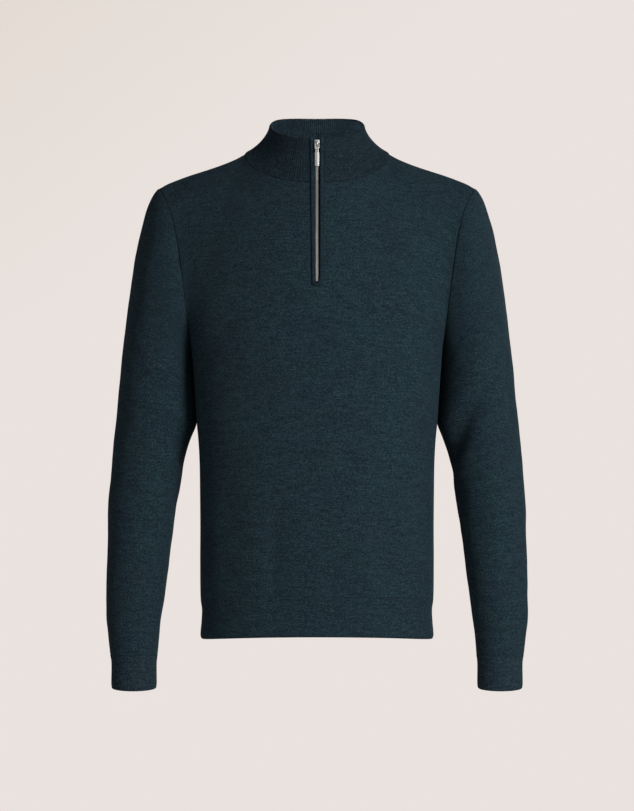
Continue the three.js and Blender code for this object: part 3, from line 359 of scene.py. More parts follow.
# Slider and pull tab, in the slider's own frame: its middle is seated on the collar's face, bottom
# and top are up the zip, inner and outer across it, and back and front are off the cloth
SLIDER_SHARE = 0.865
SLIDER_TOP = 5.6
POST_BOTTOM = 2.2
PLATE_BACK = 2.45
PLATE_FRONT = PLATE_BACK + 1.4
REAR_FRONT = -3.6
PIVOT_OUT = PLATE_FRONT + 1.0
EYES = {"bottom": -4.9, "top": -3.9, "inner": 0.5, "outer": 1.5}
SLOT = {"bottom": -9.0, "top": -8.0, "inner": 0.0, "outer": 1.5}
FRONT_PLATE = {
    "bottom": -SLIDER_TOP, "top": SLIDER_TOP, "half_bottom": 2.95, "half_top": 3.35, "corner": 1.5,
    "back": PLATE_BACK, "front": PLATE_FRONT, "edge": 0.5, "crown": 0.25, "holes": [EYES],
}
REAR_PLATE = {
    "bottom": -SLIDER_TOP + 0.6, "top": SLIDER_TOP, "half_bottom": 2.9, "half_top": 3.3, "corner": 1.2,
    "back": REAR_FRONT - 1.1, "front": REAR_FRONT,
}
POST = {
    "bottom": POST_BOTTOM, "top": SLIDER_TOP - 0.4, "half_bottom": 1.7, "half_top": 2.2, "corner": 0.5,
    "back": REAR_FRONT - 0.3, "front": PLATE_BACK + 0.3, "edge": 0.2,
}
BRIDGE = {
    "reach": 2.5, "bottom": PLATE_FRONT - 0.3, "top": PIVOT_OUT + 1.5, "foot": 0.6, "leg": 1.2,
    "half_thick": 0.5, "half_wide": 1.1,
}
PIN = {"half_length": 2.6, "radius": 0.62, "points": 9}
ARM_APART = 2.4
ARM = {
    "bottom": -6.7, "top": 0.75, "half_bottom": 0.7, "half_top": 0.7, "corner": 0.55,
    "back": PIVOT_OUT - 0.55, "front": PIVOT_OUT + 0.55, "edge": 0.3,
}
LINK = {
    "bottom": -11.8, "top": -3.3, "half_bottom": 2.1, "half_top": 2.6, "corner": 0.9,
    "back": PIVOT_OUT - 0.5, "front": PIVOT_OUT + 0.5, "edge": 0.3, "holes": [EYES, SLOT],
}
BAR = {
    "bottom": -30.4, "top": -11.1, "half_bottom": 2.9, "half_top": 2.9, "corner": 1.2,
    "back": PIVOT_OUT - 0.7, "front": PIVOT_OUT + 0.85, "edge": 0.35, "crown": 0.3,
}
# Metal edges that turn more than this many degrees stay crisp
CRISP_EDGE = 40

# Tints of the darkest and the lightest fibres in the yarn
SMOKY = (0.92, 0.95, 1.0)
MISTY = (1.04, 1.0, 0.97)
# How the dye drifts over the cloth
BLUE_DYE = (1.08, 0.97, 1.03, 1.0)
GREEN_DYE = (0.93, 1.03, 0.97, 1.0)

# Studio: lamps are in metres and watts, and the one in the collar lights the back neck's inner side
FLOOR_Z = -1300
FLOOR_RADIUS = 3.15
FLOOR_RIM = 1.2
FLOOR_FADE = {"From Min": 1.9, "From Max": 3.1, "To Min": 1.0, "To Max": 0.0}
LAMPS = [
    {"name": "key", "place": (2.3, -2.8, 0.45), "aim": (0, 0, -0.3), "size": 1.3, "power": 165},
    {"name": "fill", "place": (-2.6, -2.4, 0.4), "aim": (0, 0, -0.35), "size": 2.2, "power": 14},
    {"name": "back", "place": (0.6, 3.0, 1.0), "aim": (0, 0, -0.3), "size": 2.4, "power": 80},
    {
        "name": "in_collar", "place": (0.02, -0.01, 0.0), "aim": (0.06, 0.02, 0.045), "size": 0.04,
        "power": 0.085,
    },
]
# The way in which painted shade turns the backdrop darker, up on the left, and where along it the change
# lies
BACKDROP_SLOPE = (-0.6, 0.0, 0.8)
BACKDROP_SHADE = {"From Min": 0.05, "From Max": 0.18, "To Min": 0.0, "To Max": 1.0}

# Camera: it looks level at the middle of the picture
CAMERA_DISTANCE = 4500
PICTURE_LONG_SIDE = 1086.7
PICTURE_MIDDLE_Z = -329
SENSOR = 36


def hermite(a, b, slope_a, slope_b, t):
    """A smooth curve from a to b, with the slopes that it has there, at t from 0 to 1."""
    t2 = t * t
    t3 = t2 * t
    from_a = (2 * t3 - 3 * t2 + 1) * a + (t3 - 2 * t2 + t) * slope_a
    from_b = (3 * t2 - 2 * t3) * b + (t3 - t2) * slope_b
    return from_a + from_b


def between(table, key, place, column):
    """Reads a column of a table at places between its rows, along a smooth curve through them."""
    rows = sorted(table, key=lambda row: row[key])
    keys = np.array([row[key] for row in rows], float)
    values = np.array([row[column] for row in rows], float)
    last = len(rows) - 1
    before = np.maximum(np.arange(last + 1) - 1, 0)
    after = np.minimum(np.arange(last + 1) + 1, last)
    slopes = (values[after] - values[before]) / (keys[after] - keys[before])
    i = np.clip(np.searchsorted(keys, place) - 1, 0, last - 1)
    step = keys[i + 1] - keys[i]
    t = np.clip((place - keys[i]) / step, 0, 1)
    return hermite(values[i], values[i + 1], slopes[i] * step, slopes[i + 1] * step, t)


def unit(vectors):
    """Vectors of length 1 with the same directions."""
    return vectors / np.maximum(np.linalg.norm(vectors, axis=-1, keepdims=True), 1e-9)


def direction_at(table, key, place):
    return unit(np.stack([between(table, key, place, axis) for axis in "xyz"], axis=-1))


def bell(offset):
    """1 in the middle, and soft down to 0 within about two units on either side."""
    return np.exp(-offset * offset)


def along_line(line, shares):
    """Points a given share of the way along a dense line of points."""
    steps = np.linalg.norm(np.diff(line, axis=0), axis=1)
    lengths = np.concatenate([[0], np.cumsum(steps)])
    at = np.asarray(shares) * lengths[-1]
    return np.stack([np.interp(at, lengths, line[:, k]) for k in range(3)], axis=-1)


def smooth_curve(rows, shares):
    """Points on a centripetal Catmull-Rom curve through the rows' points, by share of its length."""
    points = np.array([[row["x"], row["y"], row["z"]] for row in rows], float)
    ends = 2 * points[0] - points[1], 2 * points[-1] - points[-2]
    points = np.vstack([ends[:1], points, ends[1:]])
    line = []
    for p0, p1, p2, p3 in zip(points, points[1:], points[2:], points[3:]):
        d0, d1, d2 = (np.linalg.norm(b - a) ** 0.5 for a, b in ((p0, p1), (p1, p2), (p2, p3)))
        leave = ((p1 - p0) / d0 - (p2 - p0) / (d0 + d1) + (p2 - p1) / d1) * d1
        arrive = ((p2 - p1) / d1 - (p3 - p1) / (d1 + d2) + (p3 - p2) / d2) * d1
        t = np.linspace(0, 1, 41)[:, None]
        line.append(hermite(p1, p2, leave, arrive, t)[bool(line):])
    return along_line(np.vstack(line), shares)


def mirrored(points):
    """The same grid or line on the other side of the body, with its columns turned round."""
    flipped = points * np.array([-1, 1, 1])
    return flipped[:, ::-1] if points.ndim == 3 else flipped[::-1]


def unevenness(points, size, seed):
    """Soft uneven values from -1 to 1 over some points, with waves of about the given size."""
    flat = points.reshape(-1, 3) / size + seed * 7.3
    values = np.array([noise.noise(Vector(place)) for place in flat])
    return values.reshape(points.shape[:-1])


class Cloth:
    """A smooth sheet of cloth: rows of points that go up it, and columns that make it face outwards."""

    def __init__(self, points, round_body=False):
        self.points = points
        self.out = self.outward(points, round_body)
        self.knit = self.places_in_the_knit(points)
        self.seam = np.zeros(points.shape[:2])

    @staticmethod
    def outward(points, round_body):
        up = np.gradient(points, axis=0)
        across = np.gradient(points, axis=1)
        if round_body:
            across[:, 0] = across[:, -1] = points[:, 1] - points[:, -2]
        return unit(np.cross(across, up))

    @staticmethod
    def places_in_the_knit(points):
        """Millimetres across from the middle column, and millimetres up each column."""
        steps = np.linalg.norm(np.diff(points, axis=1), axis=2)
        across = np.pad(np.cumsum(steps, axis=1), ((0, 0), (1, 0)))
        across -= across[:, [points.shape[1] // 2]]
        rises = np.linalg.norm(np.diff(points, axis=0), axis=2)
        up = np.pad(np.cumsum(rises, axis=0), ((1, 0), (0, 0)))
        return np.stack([across, up], axis=-1)

    def raised(self, height):
        return self.points + self.out * np.asarray(height)[..., None]

    def sew(self, *distances, strength=1.0):
        """Sinks the cloth into its seams, given each point's distance from each of them."""
        for distance in distances:
            share = strength * bell(distance / SEAM_REACH) + np.zeros_like(self.seam)
            self.seam = np.maximum(self.seam, share)
        return self


def distance_from_edge(points, axis, end):
    """How far each point of a grid is from its first (0) or last (-1) row or column, along the cloth."""
    steps = np.linalg.norm(np.diff(points, axis=axis), axis=2)
    if end:
        steps = np.flip(steps, axis)
    lengths = np.cumsum(steps, axis=axis)
    lengths = np.pad(lengths, ((1, 0), (0, 0)) if axis == 0 else ((0, 0), (1, 0)))
    return np.flip(lengths, axis) if end else lengths


def evened(points, share, rounds):
    """Evens a grid out along its normals, by each point's share; its outer points stay."""
    points = points.copy()
    inside = (slice(1, -1), slice(1, -1))
    for _ in range(rounds):
        out = Cloth.outward(points, False)[inside]
        near = (points[1:-1, :-2] + points[1:-1, 2:] + points[:-2, 1:-1] + points[2:, 1:-1]) / 4
        move = ((near - points[inside]) * out).sum(axis=-1) * share[inside]
        points[inside] += out * move[..., None]
    return points


def other_arm(cloth):
    """The same cloth on the other arm, with its knit measured anew."""
    other = Cloth(mirrored(cloth.points), round_body=True)
    other.seam = cloth.seam[:, ::-1]
    return other


def along_line_values(line, values, shares):
    """Values that belong to a line's points, read a given share of the way along it."""
    lengths = np.pad(np.cumsum(np.linalg.norm(np.diff(line, axis=0), axis=1)), (1, 0))
    return np.stack([np.interp(shares * lengths[-1], lengths, values[:, k]) for k in range(3)], axis=-1)


def quads_between(lines):
    """Faces between lines of vertex numbers; the lines are the rows of an array."""
    a, b = lines[:-1], lines[1:]
    return np.stack([a[:, :-1], a[:, 1:], b[:, 1:], b[:, :-1]], axis=-1).reshape(-1, 4)


@dataclass
class Wall:
    """A closed mesh in millimetres, with each point's place in the knit and closeness to a seam."""

    vertices: np.ndarray
    faces: list
    knit: np.ndarray
    seam: np.ndarray


def make_object(name, *walls, smooth_angle=None):
    """One smooth mesh object from one or more walls; smooth_angle keeps edges sharper than it crisp."""
    faces, first = [], 0
    for part in walls:
        faces += [[first + corner for corner in face] for face in part.faces]
        first += len(part.vertices)
    mesh = bpy.data.meshes.new(name)
    vertices = np.vstack([part.vertices for part in walls]) * MM
    mesh.from_pydata(vertices.tolist(), [], faces)
    mesh.shade_smooth()
    corner = np.empty(len(mesh.loops), np.int32)
    mesh.loops.foreach_get("vertex_index", corner)
    knit = np.vstack([part.knit for part in walls])
    mesh.uv_layers.new(name="knit").uv.foreach_set("vector", knit[corner].astype(np.float32).ravel())
    # The knit's shader darkens the cloth by this seam value as painted shade
    seam = np.concatenate([part.seam for part in walls])
    mesh.attributes.new("seam", "FLOAT", "POINT").data.foreach_set("value", seam.astype(np.float32))
    if smooth_angle:
        mesh.set_sharp_from_angle(angle=math.radians(smooth_angle))
    mesh.validate()
    made = bpy.data.objects.new(name, mesh)
    bpy.context.scene.collection.objects.link(made)
    return made


def wall(outer, inner, knit=None, seam=None, cut=None, round_bottom=0, round_top=0):
    """Closes an outer and an inner grid of points into a wall, with cut cells and rounded ends.

    round_bottom and round_top are the steps of a rounded end, or 0 for a flat one.
    """
    rows, columns = outer.shape[:2]
    knit = np.zeros((rows, columns, 2)) if knit is None else knit
    seam = np.zeros((rows, columns)) if seam is None else seam
    kept = np.ones((rows - 1, columns - 1), bool) if cut is None else ~cut
    front = np.arange(rows * columns).reshape(rows, columns)
    back = front + rows * columns
    points = [outer.reshape(-1, 3), inner.reshape(-1, 3)]
    places = [knit.reshape(-1, 2)] * 2
    seams = [seam.ravel()] * 2

    def cells(grid):
        return np.stack([grid[:-1, :-1], grid[:-1, 1:], grid[1:, 1:], grid[1:, :-1]], axis=-1)[kept]

    faces = cells(front).tolist() + cells(back)[:, ::-1].tolist()
    low, high = slice(0, -1), slice(1, None)
    beside = np.pad(kept, 1)
    sides = [
        (beside[:-2, 1:-1], (low, low), (low, high), round_bottom and (0, slice(None))),
        (beside[1:-1, 2:], (low, high), (high, high), 0),
        (beside[2:, 1:-1], (high, high), (high, low), round_top and (-1, slice(None))),
        (beside[1:-1, :-2], (high, low), (low, low), 0),
    ]
    for neighbour, first, second, rounded in sides:
        edge = kept & ~neighbour
        if rounded:
            edge[rounded] = False
        a, b = front[first][edge], front[second][edge]
        faces += np.stack([a, back[first][edge], back[second][edge], b], axis=-1).tolist()
    total = 2 * rows * columns
    for end, steps in ((0, round_bottom), (-1, round_top)):
        if not steps:
            continue
        half = (outer[end] - inner[end]) / 2
        reach = np.linalg.norm(half, axis=-1, keepdims=True)
        beyond = unit(outer[end] - outer[1 if end == 0 else -2]) * reach
        lines = [front[end]]
        for angle in np.linspace(0, math.pi, steps + 2)[1:-1]:
            points.append(inner[end] + half * (1 + math.cos(angle)) + beyond * math.sin(angle))
            turn = math.sin(angle) * reach.mean()
            places.append(knit[end] + [0, turn if end else -turn])
            seams.append(seam[end])
            lines.append(np.arange(total, total + columns))
            total += columns
        lines = np.array([*lines, back[end]])
        faces += quads_between(lines if end else lines[::-1]).tolist()
        order = 1 if end == 0 else -1
        faces += [lines[:, -1].tolist()[::order], lines[:, 0].tolist()[::-order]]
    return Wall(np.vstack(points), faces, np.vstack(places), np.concatenate(seams))


def torso_ring(z, steps, facing):
    """Half a row of a panel at a height, from the centre out to the side seam."""
    ring = {column: between(TORSO, "z", z, column) for column in ("half_width", "front", "back", "lift")}
    width = ring["half_width"]
    depth = ring["front"] + TORSO_SIDE_Y if facing < 0 else ring["back"] - TORSO_SIDE_Y
    power = 2 / TORSO_SQUARENESS

    def points(angle):
        forward = np.abs(np.cos(angle)) ** power
        lift = ring["lift"] * forward * forward if facing < 0 else 0 * forward
        y = TORSO_SIDE_Y + facing * depth * forward
        return np.stack([width * np.sin(angle) ** power, y, z + lift], axis=-1)

    def angle_of(x):
        return np.arcsin((np.asarray(x) / width) ** (1 / power))

    field = TRIM_FIELD if facing < 0 else 0
    dense = points(np.linspace(angle_of(field), math.pi / 2, CURVE_POINTS))
    row = along_line(dense, np.maximum(steps, 0) / SIDE_STEPS)
    if facing < 0:
        near = steps < 0
        row[near] = points(angle_of(centre_x(steps[near])))
    return row


def centre_x(steps):
    """x of the columns between the centre (-2), the slit's edge (-1) and the zip field's edge (0)."""
    return np.interp(steps, [-2, -1, 0], [0, SLIT_HALF, TRIM_FIELD])


def oval_point(oval, heights, angle):
    """A point of the neck seam or collar top, by its angle in degrees from the centre front."""
    turn = np.radians(angle)
    reach = np.where(np.asarray(angle) < 90, oval["front"], oval["back"])
    z = between(NECK_HEIGHTS, "angle", angle, heights)
    return np.stack([oval["half_width"] * np.sin(turn), -reach * np.cos(turn), z], axis=-1)


def oval_row(oval, heights, steps, facing):
    """Points on an oval for steps from the centre (or the zip field) to the side (7)."""
    def side(angle):
        return angle if facing < 0 else 180 - angle

    field = TRIM_FIELD if facing < 0 else 0
    first = math.degrees(math.asin(field / oval["half_width"]))
    dense = oval_point(oval, heights, side(np.linspace(first, 90, CURVE_POINTS)))
    row = along_line(dense, np.maximum(steps, 0) / NECK_STEPS)
    if facing < 0:
        near = steps < 0
        angle = np.degrees(np.arcsin(centre_x(steps[near]) / oval["half_width"]))
        row[near] = oval_point(oval, heights, angle)
    return row


def half_steps(facing):
    """Where half a panel has its columns, finer near the side seam."""
    even = np.arange(SIDE_STEPS * FINE_STEP) / FINE_STEP
    seam = SIDE_STEPS - SEAM_STEPS[::-1] / SIDE_STEP_LENGTH
    centre = [-2, -1.5, -1, -0.5] if facing < 0 else []
    return np.concatenate([centre, even, seam])


def fold_depth(folds, x, z):
    """How far folds pull a torso point in."""
    total = 0
    for fold in folds:
        along = (z - fold["z"]) / fold["length"]
        across = (x - fold["x"] - fold["lean"] * (z - fold["z"])) / fold["width"]
        total = total + fold["depth"] * bell(along) * bell(across)
    return total


def sleeve_fold_depth(folds, turn, z):
    """How far folds pull a sleeve point in, where each slants round the arm."""
    total = 0
    for fold in folds:
        around = turn - fold["turn"] - np.round(turn - fold["turn"])
        along = (z - fold["z"] - fold["slant"] * around / fold["reach"] / 2) / fold["width"]
        total = total + fold["depth"] * bell(around / fold["reach"]) * bell(along)
    return total


def upper_panel(steps, facing):
    """Rows of half a panel from the underarm up to its top edge, and each row's share of the way."""
    shares = np.arange(UPPER_ROWS) / UPPER_ROWS
    shares = np.concatenate([shares, 1 - SEAM_STEPS[::-1] / UPPER_LENGTH])
    bottom = torso_ring(UNDERARM, steps, facing)
    below = torso_ring(UNDERARM - 5, steps, facing)
    neck = oval_row(NECK, "seam", np.minimum(steps, NECK_STEPS), facing)
    beyond = np.maximum(steps - NECK_STEPS, 0) / (SIDE_STEPS - NECK_STEPS)
    top = np.where((steps <= NECK_STEPS)[:, None], neck, smooth_curve(SHOULDER, beyond))
    sideways = (np.maximum(steps, -1) + 1) / (SIDE_STEPS + 1) if facing < 0 else steps / SIDE_STEPS
    chord = np.linalg.norm(top - bottom, axis=1)[:, None]
    up = unit(bottom - below) * chord
    into = direction_at(FRONT_RISE if facing < 0 else BACK_RISE, "at", sideways)
    into = into * chord * (1 - 0.38 * sideways[:, None])
    off_centre = np.clip(steps, 0, 1)
    up[:, 0] *= off_centre
    into[:, 0] *= off_centre
    grid = np.stack([hermite(bottom, top, up, into, t) for t in shares])
    armhole = smooth_curve(ARMHOLE_FRONT if facing < 0 else ARMHOLE_BACK, shares)
    correction = (armhole - grid[:, -1])[:, None, :]
    return grid + correction * (sideways ** 5)[None, :, None], shares


def both_halves(half, facing):
    """A whole panel from its half on the wearer's left, in columns that make it face outwards."""
    other = half * np.array([-1, 1, 1])
    if facing < 0:
        return np.concatenate([other[:, :0:-1], half], axis=1)
    return np.concatenate([half[:, ::-1], other[:, 1:]], axis=1)


def arm_ring(table, z, turns):
    """Points round the arm at a height, from its inner side over the front."""
    row = {column: between(table, "z", z, column) for column in table[0]}
    angle = 2 * math.pi * turns
    forward = np.sin(angle)
    x = (row["inner"] + row["outer"]) / 2 - (row["outer"] - row["inner"]) / 2 * np.cos(angle)
    drop = row.get("drop", 0) * forward
    return np.stack([x, row["y"] - row["half_depth"] * forward, z - drop], axis=-1)


def collar_columns():
    """Seam and top points from the slit's left edge round the back to its right, and rib phases."""
    fine = RIBS_A_STEP * POINTS_A_RIB
    near = np.linspace(-1, 0, RIBS_BY_ZIP * POINTS_A_RIB + 1)[:-1]
    front = np.concatenate([near, np.arange(NECK_STEPS * fine) / fine])
    back = np.arange(NECK_STEPS * fine + 1)[::-1] / fine
    lines = []
    for oval, heights in ((NECK, "seam"), (COLLAR_TOP, "top")):
        half = np.concatenate([oval_row(oval, heights, front, -1), oval_row(oval, heights, back, 1)])
        lines.append(np.concatenate([half, (half * [-1, 1, 1])[-2::-1]]))
    phases = np.where(front < 0, front * RIBS_BY_ZIP, front * RIBS_A_STEP)
    phases = np.concatenate([phases, (2 * NECK_STEPS - back) * RIBS_A_STEP])
    return lines[0], lines[1], np.concatenate([phases, 2 * phases[-1] - phases[-2::-1]])


def collar_points(bottom, top, share):
    """The collar's outer face, without its ribs, from its seam (0) to its top (1)."""
    sideways = np.abs(bottom[:, :1]) / NECK["half_width"]
    height = (top - bottom)[:, 2:]
    inwards = (top - bottom)[:, :2]
    start = np.hstack([inwards * (1.2 + 0.3 * sideways), height * (0.95 - 0.4 * sideways)])
    end = np.hstack([inwards * (0.5 - 0.38 * sideways), height * (1 + 0.1 * sideways)])
    return hermite(bottom, top, start, end, share)


def collar_point(step, share):
    """One point of the collar's outer face in front, by its step from the slit's edge (-1)."""
    ends = [
        oval_row(oval, heights, np.array([float(step)]), -1)
        for oval, heights in ((NECK, "seam"), (COLLAR_TOP, "top"))
    ]
    return collar_points(*ends, share)[0]


def rib_height(phase):
    """Round ribs with narrow furrows between them, from -0.5 to 0.5; each rib is 1 wide in phase."""
    return np.abs(np.cos(math.pi * phase)) ** 0.7 - 0.5


class Pattern:
    """The sweater's cloth as one set of settings gives it: every piece is cut and creased from here."""

    def __init__(self, settings):
        self.folds = settings.fold_strength
        self.creases = settings.crease_strength
        self.waves = settings.unevenness / MM
        self.ribs = settings.rib_height / MM
        self.groove = settings.seam_depth / MM

    def sunk(self, cloth, depth=0):
        """Points under a cloth's face: its seams lie in a groove, and depth is measured from there."""
        return cloth.raised(-self.groove * cloth.seam - depth)

    def wave(self, points, sizes, seed):
        """How far the cloth wavers, in soft waves of a large and a small size."""
        large, small = sizes
        soft = 0.75 * unevenness(points, large, seed) + 0.25 * unevenness(points, small, seed + 1)
        return self.waves * 1.6 * soft

    def creased_torso(self, points, steps, facing, fade_up=1):
        """Adds the folds, the creases and a slight unevenness to a torso panel."""
        folds, creases = (FRONT_FOLDS, FRONT_CREASES) if facing < 0 else (BACK_FOLDS, BACK_CREASES)
        x, z = points[..., 0], points[..., 2]
        fade = np.minimum(1, (SIDE_STEPS - steps) / 3)
        fade = np.concatenate([fade[:0:-1], fade])
        pull = self.folds * fold_depth(folds, x, z) + self.creases * fold_depth(creases, x, z)
        wave = self.wave(points, TORSO_WAVES, 1) * np.minimum(1, fade * 1.5) * fade_up
        moved = points.copy()
        moved[..., 1] -= facing * (pull * fade + wave)
        return moved

    @functools.cache
    def panel(self, facing):
        """The front (-1) or back (1), and each row's share of the way from the underarm to the top."""
        steps = half_steps(facing)
        heights = np.arange(HEM_SEAM + ROW, UNDERARM - 1, ROW)
        heights = np.concatenate([HEM_SEAM + SEAM_STEPS, heights])
        lower = np.stack([torso_ring(z, steps, facing) for z in heights])
        upper, shares = upper_panel(steps, facing)
        bare = both_halves(np.concatenate([lower, upper]), facing)
        edges = [distance_from_edge(bare, axis, end) for axis, end in ((0, -1), (1, 0), (1, -1))]
        fade_up = np.minimum(1, edges[0] / TORSO_FADE)
        chest = np.clip((bare[..., 2] - UNDERARM) / EVEN_CHEST["rise"], 0, 1)
        from_edge = np.minimum(1, np.minimum.reduce(edges) / EVEN_CHEST["edge"])
        bare = evened(bare, chest * from_edge, EVEN_CHEST["rounds"])
        cloth = Cloth(self.creased_torso(bare, steps, facing, fade_up))
        at = cloth.points
        cloth.sew(distance_from_edge(at, 0, 0), strength=HEM_JOIN)
        shoulder = np.abs(at[-1, :, 0]) > NECK["half_width"]
        cloth.sew(distance_from_edge(at, 0, -1), strength=np.where(shoulder, 1, NECK_JOIN))
        cloth.sew(distance_from_edge(at, 1, 0), distance_from_edge(at, 1, -1))
        return cloth, np.concatenate([np.full(len(heights), -1.0), shares])

    @functools.cache
    def hem(self, facing):
        """The folded hem's outer face, in front (-1) or behind (1)."""
        steps = half_steps(facing)
        heights = np.arange(HEM_BOTTOM + HEM_WALL / 2, HEM_SEAM - 3, 2.6)
        heights = np.concatenate([heights, HEM_SEAM - SEAM_STEPS[::-1]])
        bare = both_halves(np.stack([torso_ring(z, steps, facing) for z in heights]), facing)
        cloth = Cloth(self.creased_torso(bare, steps, facing))
        at = cloth.points
        cloth.sew(distance_from_edge(at, 0, -1), strength=HEM_JOIN)
        return cloth.sew(distance_from_edge(at, 1, 0), distance_from_edge(at, 1, -1))

    @functools.cache
    def sleeve(self, side):
        """Rows from the cuff seam up to the armhole, and columns from the underarm seam round to it again.

        It is shaped on the wearer's left arm (1), and turned over for the right (-1).
        """
        seam = SEAM_STEPS / SLEEVE_GIRTH
        turns = np.concatenate([seam, np.arange(1, SLEEVE_COLUMNS) / SLEEVE_COLUMNS, 1 - seam[::-1]])
        front = smooth_curve(ARMHOLE_FRONT, np.minimum(turns * 2, 1))
        back = smooth_curve(ARMHOLE_BACK, np.minimum(2 - turns * 2, 1))
        start = np.where((turns < 0.5)[:, None], front, back)
        upper, following = (arm_ring(SLEEVE, z, turns) for z in (SLEEVE_TOP, SLEEVE_TOP - 25))
        chord = np.linalg.norm(upper - start, axis=1)[:, None]
        steps = turns * ROUND_STEPS
        pull = between(SLEEVE_START, "step", steps, "pull")[:, None]
        leave = direction_at(SLEEVE_START, "step", steps) * chord * pull
        down = unit(following - upper) * chord
        shares = np.concatenate([SEAM_STEPS / CAP_LENGTH, np.arange(1, CAP_ROWS + 1) / CAP_ROWS])
        head = np.stack([hermite(start, upper, leave, down, t) for t in shares])
        heights = np.arange(SLEEVE_TOP - ROW, CUFF_SEAM + 3, -ROW)
        heights = np.concatenate([heights, CUFF_SEAM + SEAM_STEPS[::-1]])
        lower = np.stack([arm_ring(SLEEVE, z, turns) for z in heights])
        bare = Cloth(np.concatenate([head, lower])[::-1], round_body=True)
        z = bare.points[..., 2]
        below = np.clip((SLEEVE_TOP + 40 - z) / 40, 0, 1)
        creases = [row for row in SLEEVE_CREASES if row["arm"] in (0, side)]
        pull = self.folds * sleeve_fold_depth(SLEEVE_FOLDS, turns, z) * below
        pull = pull + self.creases * sleeve_fold_depth(creases, turns, z)
        pull = pull + self.wave(bare.points, SLEEVE_WAVES, 4 - side)
        edges = [distance_from_edge(bare.points, 0, end) for end in (0, -1)]
        pull = pull * np.minimum(1, np.minimum(*edges) / SLEEVE_FADE)
        rest = ARM_REST["share"] * bell((turns - np.round(turns)) / ARM_REST["reach"])
        rest = rest * bell((z - ARM_REST["z"]) / ARM_REST["length"])
        wrapped = bare.raised(-pull * (1 - rest) + ARM_REST["press"] * rest)
        wrapped[:, -1] = wrapped[:, 0]
        cloth = Cloth(wrapped, round_body=True)
        cloth.sew(edges[0], strength=CUFF_JOIN)
        cloth.sew(edges[1], *(distance_from_edge(wrapped, 1, end) for end in (0, -1)))
        return cloth if side > 0 else other_arm(cloth)

    @functools.cache
    def collar(self):
        """The collar's outer face without ribs, and its rib phases."""
        bottom, top, phases = collar_columns()
        shares = np.concatenate([SEAM_STEPS / COLLAR_HEIGHT, np.linspace(0.08, COLLAR_SHOULDER, 16)])
        cloth = Cloth(np.stack([collar_points(bottom, top, share) for share in shares]))
        cloth.knit[..., 0] = phases * RIB_PITCH
        return cloth.sew(distance_from_edge(cloth.points, 0, 0), strength=NECK_JOIN), phases

    @functools.cache
    def left_cuff(self):
        """The cuff's outer face without ribs, and its rib phases."""
        columns = CUFF_RIBS * POINTS_A_RIB
        turns = np.arange(columns + 1) / columns
        heights = np.arange(CUFF_BOTTOM + CUFF_WALL / 2, CUFF_SEAM - 3, 4.0)
        heights = np.concatenate([heights, CUFF_SEAM - SEAM_STEPS[::-1]])
        cloth = Cloth(np.stack([arm_ring(CUFF, z, turns) for z in heights]), round_body=True)
        phases = turns * CUFF_RIBS
        cloth.knit[..., 0] = phases * RIB_PITCH
        return cloth.sew(distance_from_edge(cloth.points, 0, -1), strength=CUFF_JOIN), phases

    @functools.cached_property
    def zip_line(self):
        """The zip's line about every millimetre: slit edge, field edge and outward directions."""
        cloth, shares = self.panel(-1)
        middle = cloth.points.shape[1] // 2
        rows = shares > SLIT_BOTTOM - 0.06
        lines = []
        for column, step in ((middle + SLIT_COLUMNS, -1), (middle + FIELD_COLUMNS, 0)):
            collar = [collar_point(step, share) for share in np.linspace(0.05, COLLAR_SHOULDER, 18)]
            lines.append(np.concatenate([cloth.points[rows, column], collar]))
        length = np.linalg.norm(np.diff(lines[0], axis=0), axis=1).sum()
        near, far = (along_line(line, np.linspace(0, 1, int(length) + 1)) for line in lines)
        for line in (near, far):
            for _ in range(12):
                line[1:-1] = (line[:-2] + 2 * line[1:-1] + line[2:]) / 4
        up = unit(np.gradient(near, axis=0))
        return near, far, unit(np.stack([0 * up[:, 0], -up[:, 2], up[:, 1]], axis=-1))

    def zip_place(self, z):
        """How far along the zip's line a height is."""
        near = self.zip_line[0]
        return float(np.interp(z, near[:, 2], np.arange(len(near))))

    @functools.cached_property
    def slit_bottom(self):
        """Where on the zip's line the slit begins."""
        cloth, shares = self.panel(-1)
        row = np.argmin(np.abs(shares - SLIT_BOTTOM))
        column = cloth.points.shape[1] // 2 + SLIT_COLUMNS
        return self.zip_place(cloth.points[row, column, 2])

    def on_zip(self, x, along, height):
        """Points on the zip field: x across, millimetres along it, and height off the cloth.

        Beyond the line's end they follow the collar's crest over to its inner side.
        """
        near, far, out = self.zip_line
        values = (np.asarray(value, float) for value in (x, along, height))
        x, along, height = np.broadcast_arrays(*values)
        last = len(near) - 1
        place = np.clip(along, 0, last)
        low = np.minimum(place.astype(int), last - 1)
        t = (place - low)[..., None]
        share = np.clip((np.abs(x) - SLIT_HALF) / (TRIM_FIELD - SLIT_HALF), 0, None)[..., None]

        def at(line):
            return line[low] * (1 - t) + line[low + 1] * t

        points = at(near) * (1 - share) + at(far) * share
        points[..., 0] = x
        outward = unit(at(out))
        upward = np.stack([0 * x, outward[..., 2], -outward[..., 1]], axis=-1)
        crest = COLLAR_WALL / 2
        beyond = np.maximum(along - last, 0)[..., None]
        angle = np.minimum(beyond / crest, math.pi)
        down = np.maximum(beyond - math.pi * crest, 0)
        turned = outward * np.cos(angle) + upward * np.sin(angle)
        return points - outward * crest + turned * (crest + height[..., None]) - upward * down


def cuts_of_torso(facing, shares, cloth):
    """Which cells of a panel are cut out: the zip's slit in the front."""
    cut = np.zeros((cloth.points.shape[0] - 1, cloth.points.shape[1] - 1), bool)
    if facing < 0:
        middle = cloth.points.shape[1] // 2
        cut[shares[:-1] > SLIT_BOTTOM - 1e-6, middle - SLIT_COLUMNS:middle + SLIT_COLUMNS] = True
    return cut


